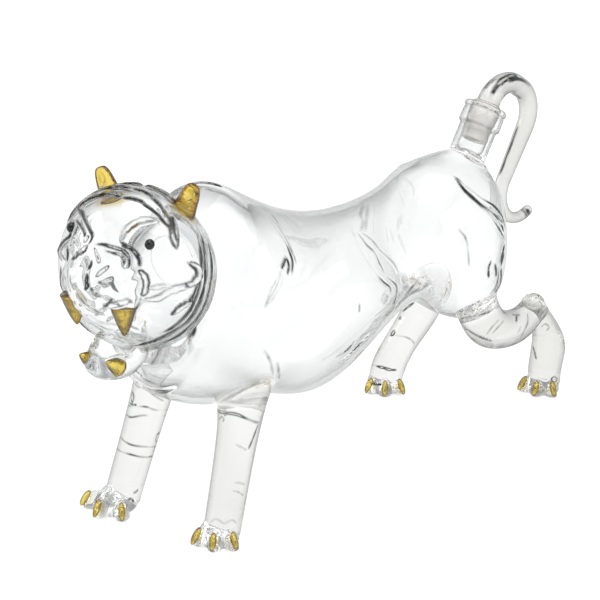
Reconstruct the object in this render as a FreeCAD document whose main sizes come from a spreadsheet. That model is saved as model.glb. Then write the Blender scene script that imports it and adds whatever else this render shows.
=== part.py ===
import FreeCAD, Part
import math
import os
import re
import Sketcher

# Hand-blown glass decanter in the shape of a striding big cat.
# The cat faces -Y, its left flank is +X, and its paws stand on Z = 0.  A hollow torso and head
# hold the drink, a ground neck on the rump is the mouth, and the tail is the stopper's handle.
# Lengths are millimetres and angles degrees.

V = FreeCAD.Vector
Constraint = Sketcher.Constraint
doc = FreeCAD.newDocument("cat_decanter")
sheet = doc.addObject("Spreadsheet::Sheet", "sizes")

SIZES = (
    ("datum_y", 13.5, "shift that centres the footprint on the origin"),
    # Torso, as a row of oval rings: distance along the body, height, half width,
    # how much taller than wide the ring's half is, and how far the ring leans back.
    ("body_wall", 2.6, "torso glass thickness"),
    ("open_end", 1, "how far the torso's hollow runs out of its two open ends"),
    ("chest_y", -101.8, "chest ring"),
    ("chest_z", 110.4, "chest ring"),
    ("chest_half", 42.8, "chest ring"),
    ("chest_rise", 6.5, "chest ring"),
    ("chest_tilt", -18.4, "chest ring"),
    ("shoulder_y", -74, "shoulder ring"),
    ("shoulder_z", 101.5, "shoulder ring"),
    ("shoulder_half", 45.5, "shoulder ring"),
    ("shoulder_rise", 1.5, "shoulder ring"),
    ("shoulder_tilt", -5.4, "shoulder ring"),
    ("ribs_y", -42.9, "rib ring"),
    ("ribs_z", 89.2, "rib ring"),
    ("ribs_half", 39.5, "rib ring"),
    ("ribs_rise", 5.5, "rib ring"),
    ("ribs_tilt", -1, "rib ring"),
    ("waist_y", 5.4, "waist ring"),
    ("waist_z", 92.9, "waist ring"),
    ("waist_half", 30.7, "waist ring"),
    ("waist_rise", 0.9, "waist ring"),
    ("waist_tilt", 2.6, "waist ring"),
    ("hip_y", 42.8, "hip ring"),
    ("hip_z", 95.6, "hip ring"),
    ("hip_half", 31.6, "hip ring"),
    ("hip_rise", 0.9, "hip ring"),
    ("hip_tilt", 9, "hip ring"),
    ("rump_y", 66, "rump ring"),
    ("rump_z", 89.9, "rump ring"),
    ("rump_half", 36.7, "rump ring"),
    ("rump_rise", 9.3, "rump ring"),
    ("rump_tilt", 20, "rump ring"),
    ("croup_y", 77.9, "croup ring"),
    ("croup_z", 106.4, "croup ring"),
    ("croup_half", 31.4, "croup ring"),
    ("croup_rise", 2.6, "croup ring"),
    ("croup_tilt", 33.6, "croup ring"),
    ("dome_y", 84.7, "last ring below the neck"),
    ("dome_z", 121, "last ring below the neck"),
    ("dome_half", 20.4, "last ring below the neck"),
    ("dome_rise", 2, "last ring below the neck"),
    ("dome_tilt", 48.6, "last ring below the neck"),
    # Neck with its ground socket, and the stopper that fits it.
    ("neck_y", 86.3, "neck's foot on the rump"),
    ("neck_z", 131.6, "neck's foot on the rump"),
    ("neck_lean", 32, "neck's lean back from upright"),
    ("neck_length", 26.6, "neck's foot to rim"),
    ("neck_wall", 1.8, "neck glass outside the ground socket"),
    ("collar_length", 10, "thick collar at the rim"),
    ("collar_step", 1.3, "collar beyond the neck"),
    ("socket_radius", 8, "ground socket at the rim"),
    ("socket_length", 20, "ground socket, from the rim down"),
    ("socket_taper", 0.1, "loss of diameter per length of the socket"),
    ("plug_gap", 0.05, "clearance round the ground plug"),
    ("plug_short", 1.5, "plug's end above the end of the socket"),
    ("plug_head", 1.6, "plug's shoulder above the rim"),
    # Tail rod, from the plug's head over an arch, down, and out in a curl.
    ("tail_root", 6, "tail radius on the plug"),
    ("tail_tip", 2.7, "tail radius at the tip"),
    ("tail_stem", 0.6, "straight run out of the plug"),
    ("tail_arch", 16, "bend radius at each side of the arch"),
    ("tail_bridge", 4.5, "straight run on top of the arch"),
    ("tail_drop", 29, "straight run down"),
    ("tail_curl", 16, "bend radius of the curl"),
    ("tail_sweep", 150, "turn of the curl"),
    # Head globe, turned to the cat's left, and what is set on it.
    ("head_y", -131.5, "head centre along the body"),
    ("head_z", 129.5, "head centre height"),
    ("head_yaw", 14, "head's turn to the left"),
    ("head_half", 36, "head half width"),
    ("head_deep", 29, "head half depth"),
    ("head_tall", 36, "head half height"),
    ("head_wall", 2.4, "head glass thickness"),
    ("throat_radius", 12, "opening between head and torso"),
    ("throat_margin", 5, "torso's front ring inside the head's outline"),
    ("throat_drop", 5.5, "torso's front ring below the head's centre"),
    ("throat_tilt", -13, "torso's front ring"),
    ("throat_back", 11.5, "torso's front ring behind the head's centre"),
    ("eye_radius", 2.5, "eye bead"),
    ("eye_swing", 42.4, "eye, round from straight ahead"),
    ("eye_climb", 34.1, "eye, up from level"),
    ("ear_half", 5, "ear half width"),
    ("ear_thick", 4, "ear half thickness"),
    ("ear_tall", 12.5, "ear above the head"),
    ("ear_swing", 120, "ear, round from straight ahead"),
    ("ear_climb", 51, "ear, up from level"),
    ("ear_splay", 24, "ear's lean outward"),
    ("muzzle_half", 17, "muzzle half width"),
    ("muzzle_deep", 16, "muzzle half depth"),
    ("muzzle_tall", 16, "muzzle half height"),
    ("muzzle_sink", 8, "muzzle centre inside the face"),
    ("muzzle_drop", 1, "muzzle centre below the head's centre"),
    ("jaw_half", 12, "jaw half width"),
    ("jaw_deep", 16, "jaw half depth"),
    ("jaw_tall", 8.5, "jaw half height"),
    ("jaw_sink", 12, "jaw centre inside the face"),
    ("jaw_lift", 1, "jaw centre above the head's lowest point"),
    ("jaw_lip", 3, "jaw glass left round its scoop"),
    ("fang_radius", 6, "upper canine at its root"),
    ("fang_length", 14.5, "upper canine, root to point"),
    ("fang_side", 13, "upper canine beside the muzzle's middle"),
    ("fang_up", 4, "upper canine's root below the muzzle's middle"),
    ("fang_ahead", 6.5, "upper canine's root ahead of the muzzle's middle"),
    ("lower_fang_radius", 3.6, "lower canine at its root"),
    ("lower_fang_length", 10, "lower canine, root to point"),
    ("lower_fang_side", 7, "lower canine beside the jaw's middle"),
    ("fang_point", 0.7, "radius of every canine's point"),
    # Legs: each rod runs from a foot point to a root point inside the torso.
    ("foot_up", 6, "ankle height"),
    ("front_left_foot_x", 25.5, "front left foot beside the middle"),
    ("front_left_foot_y", -108.5, "front left foot along the body"),
    ("front_right_foot_x", 31, "front right foot beside the middle"),
    ("front_right_foot_y", -120, "front right foot along the body"),
    ("front_root_half", 26, "front legs' roots either side of the middle"),
    ("front_root_y", -89, "front legs' roots"),
    ("front_root_z", 88, "front legs' roots"),
    ("hind_left_foot_x", 28.5, "hind left foot beside the middle"),
    ("hind_left_foot_y", 123, "hind left foot along the body"),
    ("hind_right_foot_x", 32, "hind right foot beside the middle"),
    ("hind_right_foot_y", 64, "hind right foot along the body"),
    ("ankle_radius", 8.6, "leg at the foot"),
    ("shin_radius", 8.8, "leg at its thinnest"),
    ("shin_at", 0.3, "height of the thinnest place, of the leg's length"),
    ("knee_radius", 9.8, "leg below its flare"),
    ("knee_at", 0.6, "height of that place, of the leg's length"),
    ("flare_radius", 13, "leg where it meets the torso"),
    ("thigh_x", 20, "hind left thigh's root"),
    ("thigh_y", 82, "hind left thigh's root"),
    ("thigh_z", 72, "hind left thigh's root"),
    ("thigh_radius", 10.5, "hind left thigh's root"),
    ("thigh_tilt", -45, "hind left thigh's root"),
    ("stifle_x", 27, "hind left knee"),
    ("stifle_y", 79, "hind left knee"),
    ("stifle_z", 47, "hind left knee"),
    ("stifle_radius", 11.2, "hind left knee"),
    ("stifle_tilt", -24, "hind left knee"),
    ("calf_x", 30, "hind left calf"),
    ("calf_y", 94, "hind left calf"),
    ("calf_z", 45, "hind left calf"),
    ("calf_radius", 8.8, "hind left calf"),
    ("calf_tilt", 2, "hind left calf"),
    ("hock_x", 29.5, "hind left hock"),
    ("hock_y", 111, "hind left hock"),
    ("hock_z", 51, "hind left hock"),
    ("hock_radius", 6.6, "hind left hock"),
    ("hock_tilt", 20, "hind left hock"),
    ("heel_radius", 8.8, "hind left shank at its foot"),
    ("heel_tilt", 100, "hind left shank at its foot"),
    ("shank_x", 30, "hind left shank halfway"),
    ("shank_y", 123, "hind left shank halfway"),
    ("shank_z", 25, "hind left shank halfway"),
    ("shank_radius", 9, "hind left shank halfway"),
    ("shank_tilt", 98, "hind left shank halfway"),
    ("knob_x", 29, "hind left shank's rounded top"),
    ("knob_y", 109.5, "hind left shank's rounded top"),
    ("knob_z", 51.5, "hind left shank's rounded top"),
    ("knob_radius", 6.2, "hind left shank's rounded top"),
    ("knob_tilt", 122, "hind left shank's rounded top"),
    ("pastern_radius", 9, "hind right leg at its foot"),
    ("pastern_tilt", 66, "hind right leg at its foot"),
    ("gaskin_x", 27, "hind right leg halfway"),
    ("gaskin_y", 71.5, "hind right leg halfway"),
    ("gaskin_z", 27, "hind right leg halfway"),
    ("gaskin_radius", 8.8, "hind right leg halfway"),
    ("gaskin_tilt", 56, "hind right leg halfway"),
    ("haunch_x", 22.5, "hind right leg below the rump"),
    ("haunch_y", 79.5, "hind right leg below the rump"),
    ("haunch_z", 42, "hind right leg below the rump"),
    ("haunch_radius", 9.8, "hind right leg below the rump"),
    ("haunch_tilt", 66, "hind right leg below the rump"),
    ("hip_root_x", 17, "hind right leg inside the rump"),
    ("hip_root_y", 80, "hind right leg inside the rump"),
    ("hip_root_z", 72, "hind right leg inside the rump"),
    ("hip_root_radius", 14, "hind right leg inside the rump"),
    ("hip_root_tilt", 98, "hind right leg inside the rump"),
    # Paws and claws, the same on every leg.
    ("pad_half", 9.6, "paw half width"),
    ("pad_deep", 9.2, "paw half length"),
    ("pad_tall", 11.5, "paw height"),
    ("pad_ahead", 1.5, "paw centre ahead of the ankle"),
    ("toe_half", 3.5, "toe half width"),
    ("toe_deep", 5.6, "toe half length"),
    ("toe_tall", 8, "toe height"),
    ("toe_ahead", 7.6, "toe centre ahead of the ankle"),
    ("toe_fan", 42, "turn from toe to toe"),
    ("claw_half", 1.6, "claw half width"),
    ("claw_deep", 4.4, "claw half length"),
    ("claw_tall", 1.7, "claw half height"),
    ("claw_up", 4.5, "claw centre above the ground"),
    ("claw_dip", 58, "claw's downward slant"),
    ("claw_set", 1.2, "claw centre behind the toe's tip"),
    ("front_left_turn", 30, "front left paw's turn outward"),
    ("front_right_turn", 8, "front right paw's turn inward"),
    ("hind_left_turn", 18, "hind left paw's turn outward"),
    ("hind_right_turn", 40, "hind right paw's turn inward"),
    ("front_left_stretch", 1.5, "front left toes' further reach"),
    ("front_right_stretch", 5, "front right toes' further reach, stepping out"),
    ("hind_left_stretch", 1, "hind left toes' further reach"),
    ("hind_right_stretch", 1, "hind right toes' further reach"),
)
for row, (alias, value, meaning) in enumerate(SIZES, 1):
    sheet.set(f"A{row}", meaning)
    sheet.set(f"B{row}", str(value))
    sheet.setAlias(f"B{row}", alias)
doc.recompute()


KNOWN = {alias for alias, value, meaning in SIZES}


def use(words):
    """Turn names of sizes into an expression: each known word becomes its cell."""
    return re.sub(r"[a-z_]+", lambda word: f"sizes.{word[0]}" if word[0] in KNOWN else word[0], words)


def bind(thing, terms):
    for slot, words in terms.items():
        thing.setExpression(slot, use(words))


def place(thing, x, y, z, angle=None, axis=V(1, 0, 0)):
    """Stand a thing at a point, turned about a fixed axis."""
    if angle is not None:
        thing.Placement = FreeCAD.Placement(V(), FreeCAD.Rotation(axis, 1))
        bind(thing, {"Placement.Rotation.Angle": angle})
    bind(thing, {"Placement.Base.x": x, "Placement.Base.y": y, "Placement.Base.z": z})
    return thing


def along(y):
    """A distance along the body, measured from the datum."""
    return f"datum_y + {y}"


def plane_of(body, role):
    return next(plane for plane in body.Origin.OriginFeatures if plane.Role == role)


def sketch_on(body, name, role):
    sketch = body.newObject("Sketcher::SketchObject", name)
    sketch.AttachmentSupport = [(plane_of(body, role), "")]
    sketch.MapMode = "FlatFace"
    return sketch


def name_size(sketch, constraint, label, words):
    index = sketch.addConstraint(constraint)
    sketch.renameConstraint(index, label)
    bind(sketch, {f"Constraints.{label}": words})


def ring(body, name, role, offset, angle, half, rise=None):
    """One cross-section: a circle, or an upright oval when it has a rise."""
    sketch = sketch_on(body, name, role)
    turn = FreeCAD.Rotation(V(1, 0, 0), 1)
    sketch.AttachmentOffset = FreeCAD.Placement(V(), turn)
    bind(sketch, {f"AttachmentOffset.Base.{axis}": words for axis, words in offset.items()})
    bind(sketch, {"AttachmentOffset.Rotation.Angle": angle})
    if rise is None:
        sketch.addGeometry(Part.Circle(V(), V(0, 0, 1), 10))
        sketch.addConstraint(Constraint("Coincident", 0, 3, -1, 1))
        name_size(sketch, Constraint("Radius", 0, 10), "radius", half)
        return sketch
    sketch.addGeometry(Part.Ellipse(V(0, 12, 0), V(10, 0, 0), V()))
    sketch.exposeInternalGeometry(0)
    sketch.addConstraint(Constraint("Coincident", 0, 3, -1, 1))
    sketch.addConstraint(Constraint("Vertical", 1))
    name_size(sketch, Constraint("Distance", 1, 24), "tall", f"2 * ({half} + {rise})")
    name_size(sketch, Constraint("Distance", 2, 20), "broad", f"2 * ({half})")
    return sketch


def loft(body, rings):
    skin = body.newObject("PartDesign::AdditiveLoft", f"{body.Name}_loft")
    skin.Profile = rings[0]
    skin.Sections = rings[1:]
    body.Tip = skin
    return body


def profile(body, name, corners):
    """A closed outline of straight lines, its corners set by sizes (radius, height)."""
    sketch = sketch_on(body, name, "XZ_Plane")
    count = len(corners)
    for corner in range(count):
        start = V(corner + 1, corner * 2, 0)
        end = V((corner + 1) % count + 1, ((corner + 1) % count) * 2, 0)
        sketch.addGeometry(Part.LineSegment(start, end))
    for corner in range(count):
        sketch.addConstraint(Constraint("Coincident", corner, 2, (corner + 1) % count, 1))
    for corner, (radius, height) in enumerate(corners):
        for label, kind, words in (("r", "DistanceX", radius), ("z", "DistanceY", height)):
            if words == "0":
                on_axis = -2 if kind == "DistanceX" else -1
                sketch.addConstraint(Constraint("PointOnObject", corner, 1, on_axis))
            else:
                between = Constraint(kind, -1, 1, corner, 1, 1.0)
                name_size(sketch, between, f"{label}_{corner}", words)
    return sketch


def lathe(name, corners):
    """A body turned about its own Z axis."""
    body = doc.addObject("PartDesign::Body", name)
    outline = profile(body, f"{name}_outline", corners)
    turned = body.newObject("PartDesign::Revolution", f"{name}_turned")
    turned.Profile = outline
    turned.ReferenceAxis = (outline, ["V_Axis"])
    turned.Angle = 360
    body.Tip = turned
    return body


def egg(name, half_x, half_y, half_z):
    form = doc.addObject("Part::Ellipsoid", name)
    bind(form, {"Radius2": half_x, "Radius3": half_y, "Radius1": half_z})
    return form


def spike(name, root, point, length):
    form = doc.addObject("Part::Cone", name)
    bind(form, {"Radius1": root, "Radius2": point, "Height": length})
    return form


def cut(name, base, *tools):
    """The base with every tool taken away, one after another."""
    for step, tool in enumerate(tools, 1):
        last = step == len(tools)
        taken = doc.addObject("Part::Cut", name if last else f"{name}_trim_{step}")
        taken.Base = base
        taken.Tool = tool
        base = taken
    return base


def fuse(name, pieces):
    joined = doc.addObject("Part::MultiFuse", name)
    joined.Shapes = pieces
    return joined


nodes = {}

# Head globe in its own frame: the face looks along -Y and the cat's left is +X.
HEAD_AT = ("0", along("head_y"), "head_z", "head_yaw", V(0, 0, 1))


def on_head(swing, climb, side):
    """A point of the globe's surface, found by its angles so it follows the head's size."""
    x = f"{side} * head_half * cos({climb} * 1 deg) * sin({swing} * 1 deg)"
    y = f"-1 * head_deep * cos({climb} * 1 deg) * cos({swing} * 1 deg)"
    z = f"head_tall * sin({climb} * 1 deg)"
    return x, y, z


head_form = egg("head_form", "head_half", "head_deep", "head_tall")
head_hollow = egg("head_hollow", "head_half - head_wall", "head_deep - head_wall",
                  "head_tall - head_wall")
head_outside = place(egg("head_outside", "head_half", "head_deep", "head_tall"), *HEAD_AT)

throat_hole = doc.addObject("Part::Cylinder", "throat_hole")
bind(throat_hole, {"Radius": "throat_radius", "Height": "head_deep * 2"})
place(throat_hole, "0", "0", "-1 * throat_drop", "-90")

eyes = []
for side, word in ((1, "left"), (-1, "right")):
    bead = egg(f"{word}_bead", "eye_radius", "eye_radius", "eye_radius")
    eyes.append(place(bead, *on_head("eye_swing", "eye_climb", side)))
    eye = doc.addObject("Part::Compound", f"{word}_eye")
    eye.Links = [bead]
    nodes[f"{word}_eye"] = place(eye, *HEAD_AT)

shell = cut("head_shell", head_form, head_hollow, throat_hole, *eyes)
nodes["head_shell"] = place(shell, *HEAD_AT)

for side, word in ((1, "left"), (-1, "right")):
    ear = egg(f"{word}_ear_form", "ear_half", "ear_thick", "ear_tall")
    place(ear, *on_head("ear_swing", "ear_climb", side), f"{side} * ear_splay", V(0, 1, 0))
    nodes[f"{word}_ear"] = place(cut(f"{word}_ear", ear, head_form), *HEAD_AT)

MUZZLE_Y = "-1 * (head_deep - muzzle_sink)"
JAW_Y = "-1 * (head_deep - jaw_sink)"
JAW_Z = "jaw_lift - head_tall"
muzzle_form = egg("muzzle_form", "muzzle_half", "muzzle_deep", "muzzle_tall")
place(muzzle_form, "0", MUZZLE_Y, "-1 * muzzle_drop")
nodes["muzzle"] = place(cut("muzzle", muzzle_form, head_form), *HEAD_AT)

jaw_form = egg("jaw_form", "jaw_half", "jaw_deep", "jaw_tall")
place(jaw_form, "0", JAW_Y, JAW_Z)
scoop = egg("jaw_scoop", "jaw_half - jaw_lip", "jaw_deep - jaw_lip", "jaw_tall - jaw_lip")
place(scoop, "0", JAW_Y, f"{JAW_Z} + jaw_lip * 2")
jaw = place(cut("jaw_on_head", jaw_form, scoop, head_form), *HEAD_AT)

for side, word in ((1, "left"), (-1, "right")):
    fang = spike(f"upper_{word}_fang_form", "fang_radius", "fang_point", "fang_length")
    place(fang, f"{side} * fang_side", f"{MUZZLE_Y} - fang_ahead", "-1 * (muzzle_drop + fang_up)", "180")
    fang = cut(f"upper_{word}_canine", fang, muzzle_form, head_form)
    nodes[f"upper_{word}_canine"] = place(fang, *HEAD_AT)
    fang = spike(f"lower_{word}_fang_form", "lower_fang_radius", "fang_point", "lower_fang_length")
    place(fang, f"{side} * lower_fang_side", f"{JAW_Y} - jaw_deep * 0.5", JAW_Z, "55")
    fang = cut(f"lower_{word}_canine", fang, jaw_form)
    nodes[f"lower_{word}_canine"] = place(fang, *HEAD_AT)

# Torso: an outer and an inner skin over the same rings, ending as the neck's foot.
RINGS = ("chest", "shoulder", "ribs", "waist", "hip", "rump", "croup", "dome")


def torso(name, inset, past):
    """One skin over the rings, set in by the glass and run past the open ends."""
    body = doc.addObject("PartDesign::Body", name)
    at = {"y": f"head_z - throat_drop - {past} * sin(throat_tilt * 1 deg)",
          "z": f"-1 * ({along('head_y')} + throat_back - {past} * cos(throat_tilt * 1 deg))"}
    rings = [ring(body, f"{name}_throat", "XZ_Plane", at, "throat_tilt",
                  f"head_deep - throat_margin - {inset}", "0.5")]
    for part in RINGS:
        at = {"y": f"{part}_z", "z": f"-1 * ({along(part + '_y')})"}
        rings.append(ring(body, f"{name}_{part}", "XZ_Plane", at, f"{part}_tilt",
                          f"{part}_half - {inset}", f"{part}_rise"))
    at = {"y": f"neck_z + {past} * cos(neck_lean * 1 deg)",
          "z": f"-1 * ({along('neck_y')} + {past} * sin(neck_lean * 1 deg))"}
    rings.append(ring(body, f"{name}_neck", "XZ_Plane", at, "90 - neck_lean",
                      f"socket_radius + neck_wall - {inset}", "0.01"))
    return loft(body, rings)


torso_form = torso("torso_form", "0", "0")
torso_hollow = torso("torso_hollow", "body_wall", "open_end")
nodes["body_bulb"] = cut("body_bulb", torso_form, head_outside, torso_hollow)
nodes["lower_jaw"] = cut("lower_jaw", jaw, torso_form)

# Neck, stopper plug and tail share the neck's frame: Z runs out of the mouth.
NECK_AT = ("0", along("neck_y"), "neck_z", "-1 * neck_lean")
SOCKET_LOW = "socket_radius - socket_taper * socket_length / 2"
neck = lathe("neck_socket", (
    (SOCKET_LOW, "0"),
    ("socket_radius + neck_wall", "0"),
    ("socket_radius + neck_wall", "neck_length - collar_length"),
    ("socket_radius + neck_wall + collar_step", "neck_length - collar_length"),
    ("socket_radius + neck_wall + collar_step", "neck_length"),
    ("socket_radius", "neck_length"),
    (SOCKET_LOW, "neck_length - socket_length"),
))
nodes["neck_socket"] = place(neck, *NECK_AT)

PLUG_LOW = "socket_radius - plug_gap - socket_taper * (socket_length - plug_short) / 2"
plug = lathe("stopper_plug", (
    ("0", "neck_length - socket_length + plug_short"),
    (PLUG_LOW, "neck_length - socket_length + plug_short"),
    ("socket_radius - plug_gap", "neck_length"),
    ("tail_root", "neck_length + plug_head"),
    ("0", "neck_length + plug_head"),
))
nodes["stopper_plug"] = place(plug, *NECK_AT)

tail = doc.addObject("PartDesign::Body", "tail_rod")
PLUG_TOP = "neck_length + plug_head"
path = sketch_on(tail, "tail_path", "YZ_Plane")
path.addGeometry(Part.LineSegment(V(0, 28, 0), V(0, 29, 0)))
path.addGeometry(Part.ArcOfCircle(Part.Circle(V(16, 29, 0), V(0, 0, 1), 16), math.pi / 2, math.pi))
path.addGeometry(Part.LineSegment(V(16, 45, 0), V(20, 45, 0)))
path.addGeometry(Part.ArcOfCircle(Part.Circle(V(20, 29, 0), V(0, 0, 1), 16), 0, math.pi / 2))
path.addGeometry(Part.LineSegment(V(36, 29, 0), V(36, 1, 0)))
path.addGeometry(Part.ArcOfCircle(Part.Circle(V(52, 1, 0), V(0, 0, 1), 16), math.pi, 5.76))
path.addConstraint([
    Constraint("PointOnObject", 0, 1, -2),
    Constraint("Vertical", 0),
    Constraint("Tangent", 0, 2, 1, 2),
    Constraint("Tangent", 1, 1, 2, 1),
    Constraint("Horizontal", 2),
    Constraint("Tangent", 2, 2, 3, 2),
    Constraint("Tangent", 3, 1, 4, 1),
    Constraint("Vertical", 4),
    Constraint("Tangent", 4, 2, 5, 1),
])
name_size(path, Constraint("DistanceY", -1, 1, 0, 1, 28), "start", PLUG_TOP)
name_size(path, Constraint("DistanceY", 0, 1, 0, 2, 1), "stem", "tail_stem")
name_size(path, Constraint("Radius", 1, 16), "arch", "tail_arch")
name_size(path, Constraint("DistanceX", 2, 1, 2, 2, 4), "bridge", "tail_bridge")
name_size(path, Constraint("Radius", 3, 16), "fall", "tail_arch")
name_size(path, Constraint("DistanceY", 4, 2, 4, 1, 28), "drop", "tail_drop")
name_size(path, Constraint("Radius", 5, 16), "curl", "tail_curl")
name_size(path, Constraint("Angle", 5, 2.6), "sweep", "tail_sweep * 1 deg")

CURL_Y = "tail_arch * 2 + tail_bridge + tail_curl"
TIP_Y = f"{CURL_Y} - tail_curl * cos(tail_sweep * 1 deg)"
TIP_Z = f"{PLUG_TOP} + tail_stem - tail_drop - tail_curl * sin(tail_sweep * 1 deg)"
root_ring = ring(tail, "tail_root_ring", "XY_Plane", {"z": PLUG_TOP}, "0", "tail_root")
tip_ring = ring(tail, "tail_tip_ring", "XY_Plane", {"y": TIP_Y, "z": TIP_Z}, "tail_sweep - 180", "tail_tip")
rod = tail.newObject("PartDesign::AdditivePipe", "tail_sweep_rod")
rod.Profile = root_ring
rod.Spine = path
rod.Sections = [tip_ring]
rod.Transformation = "Multisection"
tail.Tip = rod
tip = tail.newObject("PartDesign::AdditiveSphere", "tail_tip_ball")
tip.AttachmentSupport = [(plane_of(tail, "XY_Plane"), "")]
tip.MapMode = "FlatFace"
bind(tip, {"Radius": "tail_tip", "AttachmentOffset.Base.y": TIP_Y, "AttachmentOffset.Base.z": TIP_Z})
tail.Tip = tip
nodes["tail_rod"] = place(tail, *NECK_AT)

# Paws: a pad and its toes joined into one lump, flat underneath, with a claw set on each toe.
ground = doc.addObject("Part::Box", "ground")
bind(ground, {"Length": "head_half * 8", "Width": "head_half * 16", "Height": "foot_up * 6"})
place(ground, "-4 * head_half", "-8 * head_half", "-6 * foot_up")

PAWS = {
    "front_left": ("front_left_foot_x", along("front_left_foot_y")),
    "front_right": ("-1 * front_right_foot_x", along("front_right_foot_y")),
    "hind_left": ("hind_left_foot_x", along("hind_left_foot_y")),
    "hind_right": ("-1 * hind_right_foot_x", along("hind_right_foot_y")),
}
paw_forms = {}


def toe_way(paw, toe):
    """A toe's direction, turned from straight ahead."""
    return f"{paw}_turn + {toe} * toe_fan"


def out_from(paw, toe, reach):
    """A point so far out from the ankle along a toe, and further on a stretched paw."""
    x, y = PAWS[paw]
    way = f"(({toe_way(paw, toe)}) * 1 deg)"
    reach = f"({reach} + {paw}_stretch)"
    return f"{x} + {reach} * sin({way})", f"{y} - {reach} * cos({way})"


for paw, (x, y) in PAWS.items():
    pad = egg(f"{paw}_pad", "pad_half", "pad_deep", "pad_tall")
    lumps = [place(pad, x, f"{y} - pad_ahead", "0")]
    for toe in (-1, 0, 1):
        lump = egg(f"{paw}_toe_{toe + 2}", "toe_half", "toe_deep", "toe_tall")
        spot = out_from(paw, toe, "toe_ahead")
        lumps.append(place(lump, *spot, "0", toe_way(paw, toe), V(0, 0, 1)))
    form = fuse(f"{paw}_paw_form", lumps)
    paw_forms[paw] = form
    nodes[f"{paw}_paw"] = cut(f"{paw}_paw", form, ground)
    for toe in (-1, 0, 1):
        name = f"{paw}_claw_{toe + 2}"
        claw = egg(f"{name}_form", "claw_half", "claw_deep", "claw_tall")
        dipped = doc.addObject("Part::Compound", f"{name}_dipped")
        dipped.Links = [place(claw, "0", "0", "0", "claw_dip")]
        spot = out_from(paw, toe, "(toe_ahead + toe_deep - claw_set)")
        place(dipped, *spot, "claw_up", toe_way(paw, toe), V(0, 0, 1))
        nodes[name] = cut(name, dipped, form, ground)


def rod_leg(name, foot, root):
    """A straight glass rod from its foot to inside the torso, flaring where it is welded on."""
    body = doc.addObject("PartDesign::Body", f"{name}_rod")
    dx, dy, dz = (f"({b}) - ({a})" for a, b in zip(foot, root))
    reach = f"hypot({dx}; {dy}; {dz})"
    rings = [ring(body, f"{name}_ankle", "XY_Plane", {"z": "0"}, "0", "ankle_radius"),
             ring(body, f"{name}_shin", "XY_Plane", {"z": f"{reach} * shin_at"}, "0", "shin_radius"),
             ring(body, f"{name}_knee", "XY_Plane", {"z": f"{reach} * knee_at"}, "0", "knee_radius"),
             ring(body, f"{name}_flare", "XY_Plane", {"z": reach}, "0", "flare_radius")]
    loft(body, rings)
    bind(body, {
        "Placement.Rotation.Axis.x": f"-1 * ({dy})",
        "Placement.Rotation.Axis.y": dx,
        "Placement.Rotation.Axis.z": "0",
        "Placement.Rotation.Angle": f"atan2(hypot({dx}; {dy}); {dz})",
    })
    return place(body, *foot)


for paw, root in (
    ("front_left", ("front_root_half", along("front_root_y"), "front_root_z")),
    ("front_right", ("-1 * front_root_half", along("front_root_y"), "front_root_z")),
):
    x, y = PAWS[paw]
    leg = rod_leg(f"{paw}_leg", (x, y, "foot_up"), root)
    nodes[f"{paw}_leg"] = cut(f"{paw}_leg", leg, torso_form, paw_forms[paw])


def bent_leg(name, side, parts, foot=None):
    """A bent glass rod over a row of rings, given from one end to the other."""
    body = doc.addObject("PartDesign::Body", name)
    rings = []
    for part in parts:
        x, y, z = f"{side} * {part}_x", along(f"{part}_y"), f"{part}_z"
        if foot and part == parts[0]:
            x, y, z = *PAWS[foot], "foot_up"
        at = {"x": x, "y": z, "z": f"-1 * ({y})"}
        rings.append(ring(body, f"{name}_{part}", "XZ_Plane", at, f"{part}_tilt", f"{part}_radius"))
    return loft(body, rings)


# The hind left leg strides back: a bent thigh welded to the side of an upright shank.
shank = bent_leg("hind_left_shank_rod", 1, ("heel", "shank", "knob"), "hind_left")
knob = shank.newObject("PartDesign::AdditiveSphere", "shank_knob")
knob.AttachmentSupport = [(plane_of(shank, "XY_Plane"), "")]
knob.MapMode = "FlatFace"
bind(knob, {"Radius": "knob_radius", "AttachmentOffset.Base.x": "knob_x",
            "AttachmentOffset.Base.y": along("knob_y"), "AttachmentOffset.Base.z": "knob_z"})
shank.Tip = knob
nodes["hind_left_shank"] = cut("hind_left_shank", shank, paw_forms["hind_left"])

thigh = bent_leg("hind_left_thigh_rod", 1, ("thigh", "stifle", "calf", "hock"))
nodes["hind_left_thigh"] = cut("hind_left_thigh", thigh, torso_form, shank)

leg = bent_leg("hind_right_leg_rod", -1, ("pastern", "gaskin", "haunch", "hip_root"), "hind_right")
nodes["hind_right_leg"] = cut("hind_right_leg", leg, torso_form, paw_forms["hind_right"])

doc.recompute()
for item in doc.Objects:
    if {"Invalid", "Error"} & set(item.State):
        raise RuntimeError(f"{item.Name} is {item.State}")
os.makedirs("parts", exist_ok=True)
for node, item in nodes.items():
    shape = item.Shape
    if shape.isNull() or not shape.isValid() or len(shape.Solids) != 1:
        raise RuntimeError(f"{node} is not one sound solid: {len(shape.Solids)}")
    shape.exportStep(f"parts/{node}.step")
    print(f"{node} {shape.Volume:.0f} mm3")
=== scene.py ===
# %% [markdown]
# # A glass decanter in the shape of a striding big cat
# The real object is lampworked from clear borosilicate glass. The torso and the head are blown
# bubbles, the legs and the tail are solid rod, and ears, fangs and claws are drops of amber glass.
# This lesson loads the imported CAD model, builds each piece of glass again with the marks of the
# maker's tools, and lights it the way glass is photographed on white.

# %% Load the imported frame
import math

import bpy
import numpy as np
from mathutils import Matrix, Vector
from mathutils.bvhtree import BVHTree


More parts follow.
